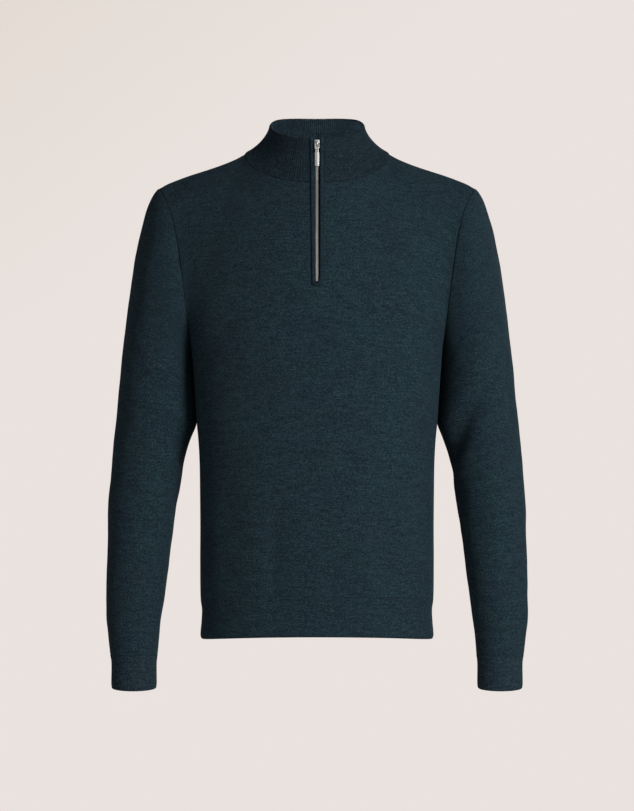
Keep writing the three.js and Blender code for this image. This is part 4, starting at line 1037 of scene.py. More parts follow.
def trim_width(along, bottom, top):
    """Half the trim's width at places along it, with round corners at its foot."""
    width = np.interp(along, [bottom, top], [TRIM_NARROW, TRIM_WIDE])
    corner = 2.2
    rise = np.clip((along - bottom) / corner, 0, 1)
    return width - corner * (1 - np.sqrt(1 - (1 - rise) ** 2))


def round_edge(distance, radius):
    """From 0 at a rounded edge up to 1 where its curve has ended."""
    return np.sqrt(1 - (1 - np.clip(distance / radius, 0, 1)) ** 2)


def trim_wall(pattern):
    """The raised band round the zip: a long U with round edges, which goes over the collar's crest."""
    end = len(pattern.zip_line[0]) - 1
    bottom = pattern.slit_bottom - TRIM_FOOT
    slit = pattern.slit_bottom
    top = end + COLLAR_WALL / 2 * math.pi + TRIM_INSIDE
    near_foot = bottom + np.array([0, 0.15, 0.4, 0.8, 1.3, 1.9, 2.6, 3.3])
    near_slit = slit + np.array([-1.0, -0.5, -0.15, 0, 0.4, 0.9])
    near_top = top - np.array([1.4, 0.8, 0.4, 0.12, 0])
    even = np.arange(slit + 1.6, end - 1, 1.6)
    crest = np.arange(end - 1, top - 2, 0.6)
    along = np.concatenate([near_foot, near_slit, even, crest, near_top])[:, None]
    shares = np.array([0, 0.04, 0.1, 0.18, 0.3, 0.5, 0.7, 0.82, 0.9, 0.96, 1])
    width = trim_width(along, bottom, end)
    opened = np.clip((along - slit) / TRIM_POINT, 0, 1) ** 0.7
    inner = {side: TRIM_POINT_HALF + (TRIM_INNER[side] - TRIM_POINT_HALF) * opened for side in (-1, 1)}
    halves = {side: inner[side] + (width - inner[side]) * shares for side in (-1, 1)}
    centre = np.hstack([-inner[-1] / 2, 0 * width, inner[1] / 2])
    x = np.concatenate([-halves[-1][:, ::-1], centre, halves[1]], axis=1)
    reach = np.where(x < 0, inner[-1], inner[1])
    from_slit = np.hypot(np.maximum(np.abs(x) - reach, 0), np.maximum(slit - along, 0))
    distance = np.minimum(width - np.abs(x), from_slit)
    distance = np.minimum(distance, np.minimum(along - bottom, top - along))
    height = TRIM_GAP + TRIM_THICK * (0.2 + 0.8 * round_edge(distance, TRIM_EDGE))
    middle = x.shape[1] // 2
    cut = np.zeros((x.shape[0] - 1, x.shape[1] - 1), bool)
    cut[along[:-1, 0] > slit - 1e-6, middle - SLIT_COLUMNS:middle + SLIT_COLUMNS] = True
    knit = np.stack([x, along + 0 * x], axis=-1)
    outer = pattern.on_zip(x, along, height)
    inner = pattern.on_zip(x, along, TRIM_GAP)
    # Here the seam value is closeness to the trim's edges, which the knit darkens as painted shade
    return wall(outer, inner, knit, np.exp(-distance), cut)


def tape_wall(pattern, side):
    """One of the zip's woven tapes: wide behind the front, narrow in the collar's slit."""
    bottom = pattern.slit_bottom - TRIM_FOOT - 1
    neck = pattern.zip_place(collar_point(-1, 0)[2]) - 3
    top = pattern.zip_place(slider_seat()[0][2]) + POST_BOTTOM
    x = np.array([0.25, 0.6, 1.6, 2.6, 3.6, 5.5, 7.5, 9.5, 10.6, TRIM_FIELD])
    along = np.concatenate([np.arange(bottom, neck, 2.0), np.arange(neck, top, 2.0), [top]])[:, None]
    edge = 0.25 * (1 - round_edge(np.minimum(x - x[0], x[-1] - x), 0.6))
    outer = pattern.on_zip(x, along, TAPE_FRONT - edge)
    inner = pattern.on_zip(x, along, TAPE_FRONT - TAPE_THICK + edge)
    knit = np.stack([x + 0 * along, along + 0 * x], axis=-1)
    if side < 0:
        outer, inner, knit = mirrored(outer), mirrored(inner), knit[:, ::-1]
    cut = np.zeros((len(along) - 1, len(x) - 1), bool)
    narrow = along[:-1, 0] > neck - 1e-6
    cut[narrow, 4:] = True
    return wall(outer, inner, knit, cut=cut if side > 0 else cut[:, ::-1])


def teeth_mesh(pattern, pitch):
    """All the zip's teeth, set by turns on its two sides; the lowest dip under the trim's point."""
    first = pattern.slit_bottom + 2.6
    last = pattern.zip_place(slider_seat()[0][2]) - SLIDER_TOP + 1
    count = int((last - first) / pitch * 2)
    starts = first + np.arange(count) * pitch / 2
    side = np.where(np.arange(count) % 2 == 0, 1, -1)
    sunk = TOOTH_DIP * np.clip(1 - (starts - first) / TRIM_POINT, 0, 1) ** 0.5
    rings = []
    for level in TOOTH_LEVELS:
        ring = TOOTH_MIDDLE + (TOOTH_OUTLINE - TOOTH_MIDDLE) * (1 - level["inset"] * np.array([0.35, 0.8]))
        along = ring[:, 1] * pitch * TOOTH_SHARE
        rings.append(np.column_stack([ring[:, 0], along, np.full(len(ring), level["out"])]))
    tooth = np.concatenate(rings)
    x = tooth[:, 0] * side[:, None]
    points = pattern.on_zip(x + TEETH_X, starts[:, None] + tooth[:, 1], tooth[:, 2] - sunk[:, None])
    corners = np.arange(len(tooth)).reshape(len(rings), -1)
    looped = np.concatenate([corners, corners[:, :1]], axis=1)
    shell = quads_between(looped).tolist() + [corners[-1].tolist(), corners[0].tolist()[::-1]]
    faces = []
    for number in range(count):
        faces += [[number * len(tooth) + corner for corner in face[::side[number]]] for face in shell]
    vertices = points.reshape(-1, 3)
    return Wall(vertices, faces, np.zeros((len(vertices), 2)), np.zeros(len(vertices)))


def slider_seat():
    """The slider's seat on the collar's face, and how far its frame leans from upright."""
    seat = collar_point(-1, SLIDER_SHARE)
    seat[0] = 0
    up = collar_point(-1, SLIDER_SHARE + 0.05) - collar_point(-1, SLIDER_SHARE - 0.05)
    return seat, math.atan2(up[1], up[2])


def in_slider_frame(points):
    """Puts points that are drawn as x across, up the zip and out of the cloth where the slider is."""
    seat, lean = slider_seat()
    x, up, out = points[..., 0], points[..., 1], points[..., 2]
    y = up * math.sin(lean) - out * math.cos(lean)
    z = up * math.cos(lean) + out * math.sin(lean)
    return np.stack([x, y, z], axis=-1) + seat


def plate(bottom, top, half_bottom, half_top, corner, back, front, edge=0.4, crown=0.0, holes=()):
    """A metal plate with round corners and edges; crown is how far its face falls from its middle line.

    It is drawn in the slider's frame. Each hole has a bottom and top, and lies on both sides between
    its inner and outer distance from the middle line.
    """
    bend = np.linspace(0, math.pi / 2, 6)
    rounding = corner * (1 - np.cos(bend))
    middle = np.linspace(bottom + corner, top - corner, max(3, int((top - bottom) / 0.9)))[1:-1]
    for hole in holes:
        clear = (middle < hole["bottom"] - 0.3) | (middle > hole["top"] + 0.3)
        middle = np.sort(np.append(middle[clear], [hole["bottom"], hole["top"]]))
    up = np.concatenate([bottom + rounding, middle, (top - rounding)[::-1]])[:, None]
    inset = corner * (1 - np.sin(bend))
    inset = np.concatenate([inset, 0 * middle, inset[::-1]])
    half = np.interp(up[:, 0], [bottom, top], [half_bottom, half_top]) - inset
    widest = (half_bottom + half_top) / 2
    shares = {0, 0.2, 0.4, 0.6, 0.78, 0.9, 0.97, 1}
    shares |= {hole[side] / widest for hole in holes for side in ("inner", "outer")}
    shares = np.array(sorted(shares))
    shares = np.concatenate([-shares[:0:-1], shares])
    x = half[:, None] * shares
    distance = np.minimum(half[:, None] - np.abs(x), np.minimum(up - bottom, top - up))
    rounded = edge * (1 - round_edge(distance, edge))
    outer = np.stack([x, up + 0 * x, front - rounded - crown * np.abs(shares)], axis=-1)
    inner = np.stack([x, up + 0 * x, back + rounded], axis=-1)
    centre = (up[1:] + up[:-1]) / 2
    across = np.abs(shares[1:] + shares[:-1]) / 2 * widest
    cut = np.zeros((x.shape[0] - 1, x.shape[1] - 1), bool)
    for hole in holes:
        level = (centre > hole["bottom"]) & (centre < hole["top"])
        cut |= level & (across > hole["inner"]) & (across < hole["outer"])
    return wall(in_slider_frame(outer), in_slider_frame(inner), cut=cut)


def rod(path, out, half_out, half_across, sides=8):
    """A closed bar of oval section along a line of points, given a direction out of it at each."""
    path, out = np.asarray(path, float), np.asarray(out, float)
    across = unit(np.cross(np.gradient(path, axis=0), out))
    turns = np.arange(sides) * 2 * math.pi / sides
    rings = path[:, None] + half_out * out[:, None] * np.cos(turns)[:, None]
    rings = rings + half_across * across[:, None] * np.sin(turns)[:, None]
    numbers = np.arange(len(path) * sides).reshape(len(path), sides)
    looped = np.concatenate([numbers, numbers[:, :1]], axis=1)
    faces = quads_between(looped).tolist() + [numbers[0].tolist(), numbers[-1][::-1].tolist()]
    lengths = np.pad(np.cumsum(np.linalg.norm(np.diff(path, axis=0), axis=1)), (1, 0))
    knit = np.stack(np.broadcast_arrays(turns * half_out, lengths[:, None]), axis=-1).reshape(-1, 2)
    return Wall(rings.reshape(-1, 3), faces, knit, np.ones(len(path) * sides))


def slider_parts():
    """The slider's front plate, rear plate, post and bridge."""
    low, leg = BRIDGE["bottom"], BRIDGE["leg"]
    bend = np.linspace(0, math.pi, 17)
    up = np.concatenate([[-BRIDGE["reach"]] * 2, -BRIDGE["reach"] * np.cos(bend), [BRIDGE["reach"]] * 2])
    foot = [low, low + BRIDGE["foot"]]
    arch = low + leg + (BRIDGE["top"] - low - leg) * np.sin(bend) ** 0.8
    path = np.column_stack([0 * up, up, np.concatenate([foot, arch, foot[::-1]])])
    along = unit(np.gradient(path, axis=0))
    normals = np.column_stack([0 * up, -along[:, 2], along[:, 1]])
    placed = in_slider_frame(path)
    out = in_slider_frame(path + normals) - placed
    bridge = rod(placed, out, BRIDGE["half_thick"], BRIDGE["half_wide"], 12)
    return [plate(**FRONT_PLATE), plate(**REAR_PLATE), plate(**POST), bridge]


def pull_parts():
    """The pull tab: a pin, two arms, a link with a slot and a flat bar with a ridge down its middle."""
    across = np.linspace(-PIN["half_length"], PIN["half_length"], PIN["points"])
    pin_path = in_slider_frame(np.column_stack([across, 0 * across, np.full(len(across), PIVOT_OUT)]))
    out = in_slider_frame(np.array([0, 0, 1.0])) - in_slider_frame(np.zeros(3))
    pin = rod(pin_path, np.tile(out, (len(across), 1)), PIN["radius"], PIN["radius"], 14)
    arms = []
    for side in (-1, 1):
        arm = plate(**ARM)
        arm.vertices[:, 0] += side * ARM_APART
        arms.append(arm)
    return [pin, *arms, plate(**LINK), plate(**BAR)]


def seam_cords(pattern):
    """The sewing yarn of the shoulders, armholes, sides and sleeves, at the bottom of each groove."""
    front, shares = pattern.panel(-1)
    back, back_shares = pattern.panel(1)
    above, back_above = shares >= 0, back_shares >= 0
    at = front.points[-1, :, 0]
    lines = [(front, (-1, side * at > NECK["half_width"] + 1)) for side in (-1, 1)]
    for panel, upper in ((front, above), (back, back_above)):
        lines += [(panel, (upper, column)) for column in (0, -1)]
    lines += [(front, (~above, column)) for column in (0, -1)]
    lines += [(pattern.hem(-1), (slice(None), column)) for column in (0, -1)]
    lines += [(pattern.sleeve(side), (slice(None), 0)) for side in (1, -1)]
    cords = []
    for cloth, where in lines:
        path = pattern.sunk(cloth, YARN_RADIUS - YARN_PROUD)[where]
        steps = np.linalg.norm(np.diff(path, axis=0), axis=1)
        count = max(4, int(steps.sum() / YARN_STEP))
        shares_along = np.linspace(0, 1, count)
        normals = along_line_values(path, cloth.out[where], shares_along)
        cords.append(rod(along_line(path, shares_along), unit(normals), YARN_RADIUS, YARN_RADIUS, 6))
    return cords


class Wire:
    """A socket of a material's nodes, so that shader maths reads as plain expressions."""

    def __init__(self, shader, socket):
        self.shader = shader
        self.socket = socket

    def maths(self, operation, *values):
        inputs = dict(enumerate(values))
        return self.shader.node("ShaderNodeMath", {"operation": operation}, inputs)

    def __add__(self, other):
        return self.maths("ADD", self, other)

    def __radd__(self, other):
        return self.maths("ADD", other, self)

    def __sub__(self, other):
        return self.maths("SUBTRACT", self, other)

    def __rsub__(self, other):
        return self.maths("SUBTRACT", other, self)

    def __mul__(self, other):
        return self.maths("MULTIPLY", self, other)

    def __rmul__(self, other):
        return self.maths("MULTIPLY", other, self)

    def __truediv__(self, other):
        return self.maths("DIVIDE", self, other)

    def __rtruediv__(self, other):
        return self.maths("DIVIDE", other, self)

    def __abs__(self):
        return self.maths("ABSOLUTE", self)


class Shader:
    """The nodes of a material, or of the studio's world, built one by one."""

    def __init__(self, name, kind="materials"):
        self.made = getattr(bpy.data, kind).new(name)
        self.made.use_nodes = True
        self.tree = self.made.node_tree
        self.tree.nodes.clear()

    def node(self, kind, settings=None, inputs=None, output=0):
        """Adds a node: its type, then its settings, then the values or links of its sockets."""
        made = self.tree.nodes.new(kind)
        for key, value in (settings or {}).items():
            if key == "stops":
                self.set_stops(made.color_ramp, value)
            else:
                setattr(made, key, value)
        for key, value in (inputs or {}).items():
            if isinstance(value, Wire):
                self.tree.links.new(value.socket, made.inputs[key])
            else:
                made.inputs[key].default_value = value
        return Wire(self, made.outputs[output])

    @staticmethod
    def set_stops(ramp, stops):
        while len(ramp.elements) < len(stops):
            ramp.elements.new(0.5)
        for element, (place, colour) in zip(ramp.elements, stops):
            element.position = place
            element.color = colour

    def mix_colours(self, factor, first, second, blend="MIX"):
        settings = {"data_type": "RGBA", "blend_type": blend}
        return self.node("ShaderNodeMix", settings, {0: factor, 6: first, 7: second}, output=2)

    def knit_place(self):
        """The place in the knit in millimetres: across and up."""
        place = self.node("ShaderNodeUVMap", {"uv_map": "knit"})
        split = self.node("ShaderNodeSeparateXYZ", None, {0: place})
        return split, Wire(self, split.socket.node.outputs[1])

    def noise(self, across, up, scale, detail=2.0, seed=0.0):
        """Soft noise over the knit, whose cells are stretched by scaling one of the places."""
        place = self.node("ShaderNodeCombineXYZ", None, {0: across, 1: up, 2: seed})
        inputs = {"Vector": place, "Scale": scale, "Detail": detail, "Roughness": 0.55}
        return self.node("ShaderNodeTexNoise", {"noise_dimensions": "3D"}, inputs)

    def bump(self, height, distance, strength=1.0):
        inputs = {"Height": height, "Distance": distance, "Strength": strength}
        return self.node("ShaderNodeBump", None, inputs)

    def finish(self, **sockets):
        """Ends in a Principled shader; a socket's spaces are written as underscores."""
        inputs = {key.replace("_", " "): value for key, value in sockets.items()}
        surface = self.node("ShaderNodeBsdfPrincipled", None, inputs)
        return self.show(surface, "ShaderNodeOutputMaterial")

    def show(self, surface, kind):
        end = self.tree.nodes.new(kind)
        self.tree.links.new(surface.socket, end.inputs["Surface"])
        return self.made


def shade(colour, factor, tint=(1, 1, 1)):
    """A colour made lighter or darker and tinted, with its alpha."""
    return (*(min(1.0, value * factor * part) for value, part in zip(colour, tint)), 1.0)


def knitted(name, settings, colour, wale, course, rib_shadow=0.0):
    """Knitting yarn in rows of V stitches, spun from dark, middle and light fibres.

    With a rib_shadow every rib carries one column of Vs, and painted shade makes the yarn that much darker
    between ribs.
    """
    shader = Shader(name)
    across, up = shader.knit_place()
    seam = shader.node("ShaderNodeAttribute", {"attribute_name": "seam"}, None, output=2)
    drift = shader.noise(across, up, 0.055, 1.0, 3.0) - 0.5
    columns = across / wale + (0.5 if rib_shadow else drift * 0.9)
    from_middle = abs(columns.maths("FRACT", columns) - 0.5)
    rows = up / course + drift * 1.3 - from_middle * 1.5
    leg = 0.5 - 0.5 * (from_middle * (4 * math.pi)).maths("COSINE", from_middle * (4 * math.pi))
    stitch = 0.5 + 0.5 * rows.maths("COSINE", rows * (2 * math.pi))
    fibre = shader.noise(across, up, 2.6, 3.0, 1.0)
    height = leg * (0.35 + 0.65 * stitch) + fibre * 0.6
    heather = shader.noise(across / 1.6, up, 0.95, 1.0, 7.0)
    speck = shader.noise(across / 1.3, up, 1.5, 1.0, 17.0)
    streak = shader.noise(across / 8.0, up, 0.6, 1.0, 11.0)
    cloudy = shader.noise(across, up, 0.016, 2.0, 5.0)
    tone = heather * 0.95 + speck * 0.7 + streak * 0.34 + cloudy * 0.1 - 0.545
    stops = [
        (0.26, shade(colour, 0.42, SMOKY)), (0.44, shade(colour, 0.84)),
        (0.56, shade(colour, 1.12)), (0.74, shade(colour, 2.1, MISTY)),
    ]
    yarn = shader.node("ShaderNodeValToRGB", {"stops": stops}, {"Fac": tone})
    dyed = shader.mix_colours(cloudy * 2 - 0.5, BLUE_DYE, GREEN_DYE)
    yarn = shader.mix_colours(1.0, yarn, dyed, "MULTIPLY")
    # Painted shade: the yarn darkens between the stitch legs, and between the ribs by rib_shadow
    shadow = (1 - leg) * (rib_shadow or 0.2) + seam * 0.55
    # Painted shade in the seams' grooves and at the zip trim's edges, by the seam value
    base = shader.mix_colours(shadow.maths("MINIMUM", shadow, 0.8), yarn, shade(colour, 0.3))
    return shader.finish(
        Base_Color=base,
        Roughness=0.86 + fibre * 0.12,
        Specular_IOR_Level=0.04,
        Sheen_Weight=0.04,
        Sheen_Roughness=0.4,
        Sheen_Tint=shade(colour, 18),
        Normal=shader.bump(height, settings.stitch_relief, 0.75),
    )


def sewing_yarn(settings):
    shader = Shader("sewing_yarn")
    across, up = shader.knit_place()
    twist = (up * 3.6 + across * 2.2).maths("SINE", up * 3.6 + across * 2.2)
    tone = shader.noise(across, up, 0.7, 2.0)
    base = shader.mix_colours(tone, shade(settings.seam_colour, 0.7), shade(settings.seam_colour, 1.3))
    return shader.finish(
        Base_Color=base, Roughness=0.9 + tone * 0.08, Specular_IOR_Level=0.1,
        Normal=shader.bump(twist, 0.00015, 0.8),
    )


def woven_tape(settings):
    """Near black tape in a fine twill."""
    shader = Shader("woven_tape")
    across, up = shader.knit_place()
    diagonal = (across + up) * 7.5
    warp = across * 9.0
    twill = diagonal.maths("SINE", diagonal) * 0.5 + warp.maths("SINE", warp) * 0.35
    worn = shader.noise(across, up, 0.5, 3.0)
    base = shader.mix_colours(worn, shade(settings.tape_colour, 0.75), shade(settings.tape_colour, 1.3))
    return shader.finish(
        Base_Color=base, Roughness=0.78 + worn * 0.12, Specular_IOR_Level=0.2,
        Normal=shader.bump(twill, 0.0001, 0.8),
    )


def polished_metal(name, colour, roughness, wear):
    """Plated metal with fine scratches and slightly uneven gloss."""
    shader = Shader(name)
    place = shader.node("ShaderNodeTexCoord", None, None, output=3)
    stretched = shader.node(
        "ShaderNodeVectorMath", {"operation": "MULTIPLY"}, {0: place, 1: (4000, 900, 600)}
    )
    scratch = shader.node("ShaderNodeTexNoise", None, {"Vector": stretched, "Scale": 1.0, "Detail": 3.0})
    cloud = shader.node("ShaderNodeTexNoise", None, {"Vector": place, "Scale": 260.0, "Detail": 2.0})
    base = shader.mix_colours(cloud, shade(colour, 0.86), shade(colour, 1.08))
    return shader.finish(
        Base_Color=base,
        Metallic=1.0,
        Roughness=roughness + cloud * wear + scratch * wear * 0.6,
        Normal=shader.bump(scratch, 0.00002, 0.4),
    )


def pale_floor(settings):
    """Matt paper that fades out towards its edge."""
    shader = Shader("pale_floor")
    place = shader.node("ShaderNodeTexCoord", None, None, output=3)
    reach = shader.node("ShaderNodeVectorMath", {"operation": "LENGTH"}, {0: place}, output=1)
    fade = shader.node(
        "ShaderNodeMapRange", {"interpolation_type": "SMOOTHERSTEP"}, {"Value": reach, **FLOOR_FADE}
    )
    grain = shader.noise(reach, 0.0, 40.0, 2.0)
    dark, light = (shade(settings.backdrop_colour, factor) for factor in (0.68, 0.7))
    base = shader.mix_colours(grain, dark, light)
    return shader.finish(Base_Color=base, Roughness=0.9, Specular_IOR_Level=0.0, Alpha=fade)


def linear(red, green, blue):
    """A colour from 0 to 255 as a screen shows it, in the linear values that shaders take."""
    values = (channel / 255 for channel in (red, green, blue))
    return tuple(v / 12.92 if v <= 0.04045 else ((v + 0.055) / 1.055) ** 2.4 for v in values)


def colour_setting(name, description, default):
    return FloatVectorProperty(
        name=name, description=description, default=default, subtype="COLOR", size=3, min=0, max=1
    )


def length_setting(name, description, default, largest):
    return FloatProperty(
        name=name, description=description, default=default, unit="LENGTH", precision=5, min=0, max=largest
    )


class SweaterSettings(bpy.types.PropertyGroup):
    """Sizes and colours that may be changed before a piece is built."""

    knit_colour: colour_setting("Knit", "Colour of the body's and sleeves' yarn", (0.0110, 0.0222, 0.0297))
    collar_colour: colour_setting("Collar", "Colour of the collar's yarn", (0.0095, 0.0176, 0.0240))
    cuff_colour: colour_setting("Cuffs", "Colour of the cuffs' yarn", (0.0122, 0.0228, 0.0304))
    seam_colour: colour_setting("Seams", "Colour of the sewing yarn", (0.0045, 0.0085, 0.0115))
    tape_colour: colour_setting("Zip tape", "Colour of the woven zip tape", (0.0060, 0.0080, 0.0100))
    teeth_colour: colour_setting("Teeth", "Colour of the zip's teeth", (0.50, 0.50, 0.49))
    metal_colour: colour_setting("Slider", "Colour of the slider and pull tab", (0.40, 0.40, 0.39))
    backdrop_colour: colour_setting("Backdrop", "Colour of the floor and backdrop", linear(234, 226, 222))
    stitch_width: length_setting("Stitch width", "Width of one V stitch of the jersey", 0.0015, 0.01)
    stitch_rise: length_setting("Stitch rise", "Height of one row of stitches", 0.0011, 0.01)
    stitch_relief: length_setting("Stitch relief", "How far the stitches stand up", 0.00035, 0.002)
    rib_height: length_setting("Rib height", "How far the ribs stand above their furrows", 0.0007, 0.003)
    seam_depth: length_setting("Seam depth", "How far the cloth sinks into a seam", 0.0009, 0.003)
    unevenness: length_setting("Unevenness", "How far the cloth wavers from its even form", 0.0009, 0.005)
    tooth_pitch: length_setting("Tooth pitch", "Distance between two teeth of one side", 0.0014, 0.005)
    soft_light: FloatProperty(
        name="Soft light", description="Strength of the light from all round", default=0.37, min=0, max=2,
    )
    fold_strength: FloatProperty(
        name="Folds", description="Depth of the large folds, from none to full", default=1, subtype="FACTOR",
        min=0, max=2,
    )
    crease_strength: FloatProperty(
        name="Creases", description="Depth of the small creases, from none to full", default=1,
        subtype="FACTOR", min=0, max=2,
    )


def jersey(settings):
    return knitted(
        "jersey_knit", settings, settings.knit_colour, settings.stitch_width / MM, settings.stitch_rise / MM
    )


def rib_knit(name, settings, colour, shadow):
    return knitted(name, settings, colour, RIB_PITCH, RIB_COURSE, rib_shadow=shadow)


def dress(piece, material, slot, *nodes, body="garment"):
    """Gives a piece its material and body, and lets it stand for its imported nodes."""
    piece.data.materials.append(material)
    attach(piece, body)
    if nodes:
        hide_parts(*nodes)
    return piece


def cut_as_sheet(cloth):
    """Works out the cells of a cloth's grid, and keeps nothing of them.

    The length is at least what makes room for the area in that width.
    """
    cells = np.cross(
        cloth.points[1:, 1:] - cloth.points[:-1, :-1], cloth.points[1:, :-1] - cloth.points[:-1, 1:]
    )


class SWEATER_OT_torso(bpy.types.Operator):
    """Build the front, with its slit for the zip, and the back"""

    bl_idname = "sweater.torso"
    bl_label = "Front and Back"
    bl_options = {"REGISTER", "UNDO"}

    def execute(self, context):
        settings = context.scene.sweater
        pattern = Pattern(settings)
        knit = jersey(settings)
        for name, facing, hangs_on in (("front", -1, "back"), ("back", 1, "front")):
            cloth, shares = pattern.panel(facing)
            cut = cuts_of_torso(facing, shares, cloth)
            outer, inner = pattern.sunk(cloth), pattern.sunk(cloth, KNIT_WALL)
            piece = make_object(f"{name}_panel", wall(outer, inner, cloth.knit, cloth.seam, cut))
            dress(piece, knit, "knit", name)
            cut_as_sheet(cloth)
        return {"FINISHED"}


class SWEATER_OT_hem(bpy.types.Operator):
    """Build the plain folded hem, one stretch in front and one behind"""

    bl_idname = "sweater.hem"
    bl_label = "Hem"
    bl_options = {"REGISTER", "UNDO"}

    def execute(self, context):
        settings = context.scene.sweater
        pattern = Pattern(settings)
        knit = jersey(settings)
        for name, facing, above in (("hem_front", -1, "front"), ("hem_back", 1, "back")):
            cloth = pattern.hem(facing)
            outer, inner = pattern.sunk(cloth), pattern.sunk(cloth, HEM_WALL)
            fold = wall(outer, inner, cloth.knit, cloth.seam, round_bottom=FOLD_STEPS)
            piece = make_object(f"{name}_fold", fold)
            dress(piece, knit, "knit", name)
            cut_as_sheet(cloth)
        return {"FINISHED"}


class SWEATER_OT_sleeves(bpy.types.Operator):
    """Build the two set-in sleeves"""

    bl_idname = "sweater.sleeves"
    bl_label = "Sleeves"
    bl_options = {"REGISTER", "UNDO"}

    def execute(self, context):
        settings = context.scene.sweater
        pattern = Pattern(settings)
        knit = jersey(settings)
        for name, side in (("sleeve_left", 1), ("sleeve_right", -1)):
            cloth = pattern.sleeve(side)
            outer, inner = pattern.sunk(cloth), pattern.sunk(cloth, KNIT_WALL)
            piece = make_object(f"{name}_knit", wall(outer, inner, cloth.knit, cloth.seam))
            dress(piece, knit, "knit", name)
            cut_as_sheet(cloth)
        return {"FINISHED"}


class SWEATER_OT_collar(bpy.types.Operator):
    """Build the ribbed stand-up collar, folded double at its top"""

    bl_idname = "sweater.collar"
    bl_label = "Collar"
    bl_options = {"REGISTER", "UNDO"}

    def execute(self, context):
        settings = context.scene.sweater
        pattern = Pattern(settings)
        cloth, phases = pattern.collar()
        ribs = pattern.ribs * rib_height(phases)
        near_seam = 1 - cloth.seam
        outer = cloth.raised(ribs * near_seam * COLLAR_RIB["outside"] - pattern.groove * cloth.seam)
        inner = cloth.raised(-COLLAR_WALL - COLLAR_RIB["inside"] * ribs)
        band = wall(outer, inner, cloth.knit, cloth.seam, round_top=CREST_STEPS)
        piece = make_object("collar_band", band)
        rib = rib_knit("collar_rib", settings, settings.collar_colour, COLLAR_RIB["shadow"])
        dress(piece, rib, "rib_knit", "collar")
        cut_as_sheet(cloth)
        return {"FINISHED"}


class SWEATER_OT_cuffs(bpy.types.Operator):
    """Build the two ribbed cuffs"""

    bl_idname = "sweater.cuffs"
    bl_label = "Cuffs"
    bl_options = {"REGISTER", "UNDO"}

    def execute(self, context):
        settings = context.scene.sweater
        pattern = Pattern(settings)
        rib = rib_knit("cuff_rib", settings, settings.cuff_colour, CUFF_RIB["shadow"])
        left, phases = pattern.left_cuff()
        right = other_arm(left)
        right.knit = left.knit
        for name, cloth, arm in (("cuff_left", left, "sleeve_left"), ("cuff_right", right, "sleeve_right")):
            ribs = pattern.ribs * rib_height(phases)
            near_seam = 1 - cloth.seam
            outer = cloth.raised(ribs * CUFF_RIB["outside"] * near_seam - pattern.groove * cloth.seam)
            inner = cloth.raised(-CUFF_WALL - CUFF_RIB["inside"] * ribs)
            band = wall(outer, inner, cloth.knit, cloth.seam, round_bottom=FOLD_STEPS)
            piece = make_object(f"{name}_band", band)
            dress(piece, rib, "rib_knit", name)
            cut_as_sheet(cloth)
        return {"FINISHED"}


class SWEATER_OT_zip_trim(bpy.types.Operator):
    """Build the raised knitted band round the zip"""

    bl_idname = "sweater.zip_trim"
    bl_label = "Zip Trim"
    bl_options = {"REGISTER", "UNDO"}

    def execute(self, context):
        settings = context.scene.sweater
        pattern = Pattern(settings)
        piece = make_object("zip_trim_band", trim_wall(pattern))
        dress(piece, jersey(settings), "knit", "zip_trim")
        return {"FINISHED"}


class SWEATER_OT_zip_tapes(bpy.types.Operator):
    """Build the two woven tapes behind the slit"""

    bl_idname = "sweater.zip_tapes"
    bl_label = "Zip Tapes"
    bl_options = {"REGISTER", "UNDO"}

    def execute(self, context):
        settings = context.scene.sweater
        pattern = Pattern(settings)
        tape = woven_tape(settings)
        for name, side in (("zip_tape_left", 1), ("zip_tape_right", -1)):
            piece = make_object(f"{name}_weave", tape_wall(pattern, side))
            dress(piece, tape, "zip_tape", name)
        return {"FINISHED"}


class SWEATER_OT_zip_teeth(bpy.types.Operator):
    """Build every tooth of the closed zip"""

    bl_idname = "sweater.zip_teeth"
    bl_label = "Zip Teeth"
    bl_options = {"REGISTER", "UNDO"}

    def execute(self, context):
        settings = context.scene.sweater
        pattern = Pattern(settings)
        teeth = teeth_mesh(pattern, settings.tooth_pitch / MM)
        piece = make_object("zip_teeth", teeth, smooth_angle=CRISP_EDGE)
        metal = polished_metal("teeth_metal", settings.teeth_colour, roughness=0.4, wear=0.12)
        dress(piece, metal, "zip_metal", "zip_chain")
        return {"FINISHED"}


class SWEATER_OT_zip_slider(bpy.types.Operator):
    """Build the slider, with the bridge that holds the pull tab's pin"""

    bl_idname = "sweater.zip_slider"
    bl_label = "Slider"
    bl_options = {"REGISTER", "UNDO"}

    def execute(self, context):
        settings = context.scene.sweater
        piece = make_object("slider_plates", *slider_parts(), smooth_angle=CRISP_EDGE)
        metal = polished_metal("slider_metal", settings.metal_colour, roughness=0.42, wear=0.1)
        dress(piece, metal, "zip_metal", "zip_slider")
        return {"FINISHED"}


class SWEATER_OT_zip_pull(bpy.types.Operator):
    """Build the pull tab, which swings on its pin"""

    bl_idname = "sweater.zip_pull"
    bl_label = "Pull Tab"
    bl_options = {"REGISTER", "UNDO"}

    def execute(self, context):
        settings = context.scene.sweater
        piece = make_object("pull_tab_bar", *pull_parts(), smooth_angle=CRISP_EDGE)
        metal = polished_metal("pull_metal", settings.metal_colour, roughness=0.44, wear=0.1)
        dress(piece, metal, "zip_metal", "zip_pull", body="pull_tab")
        return {"FINISHED"}


class SWEATER_OT_seams(bpy.types.Operator):
    """Lay the sewing yarn in every seam"""

    bl_idname = "sweater.seams"
    bl_label = "Seams"
    bl_options = {"REGISTER", "UNDO"}

    def execute(self, context):
        settings = context.scene.sweater
        pattern = Pattern(settings)
        piece = make_object("seam_yarn", *seam_cords(pattern))
        dress(piece, sewing_yarn(settings), "knit")
        return {"FINISHED"}


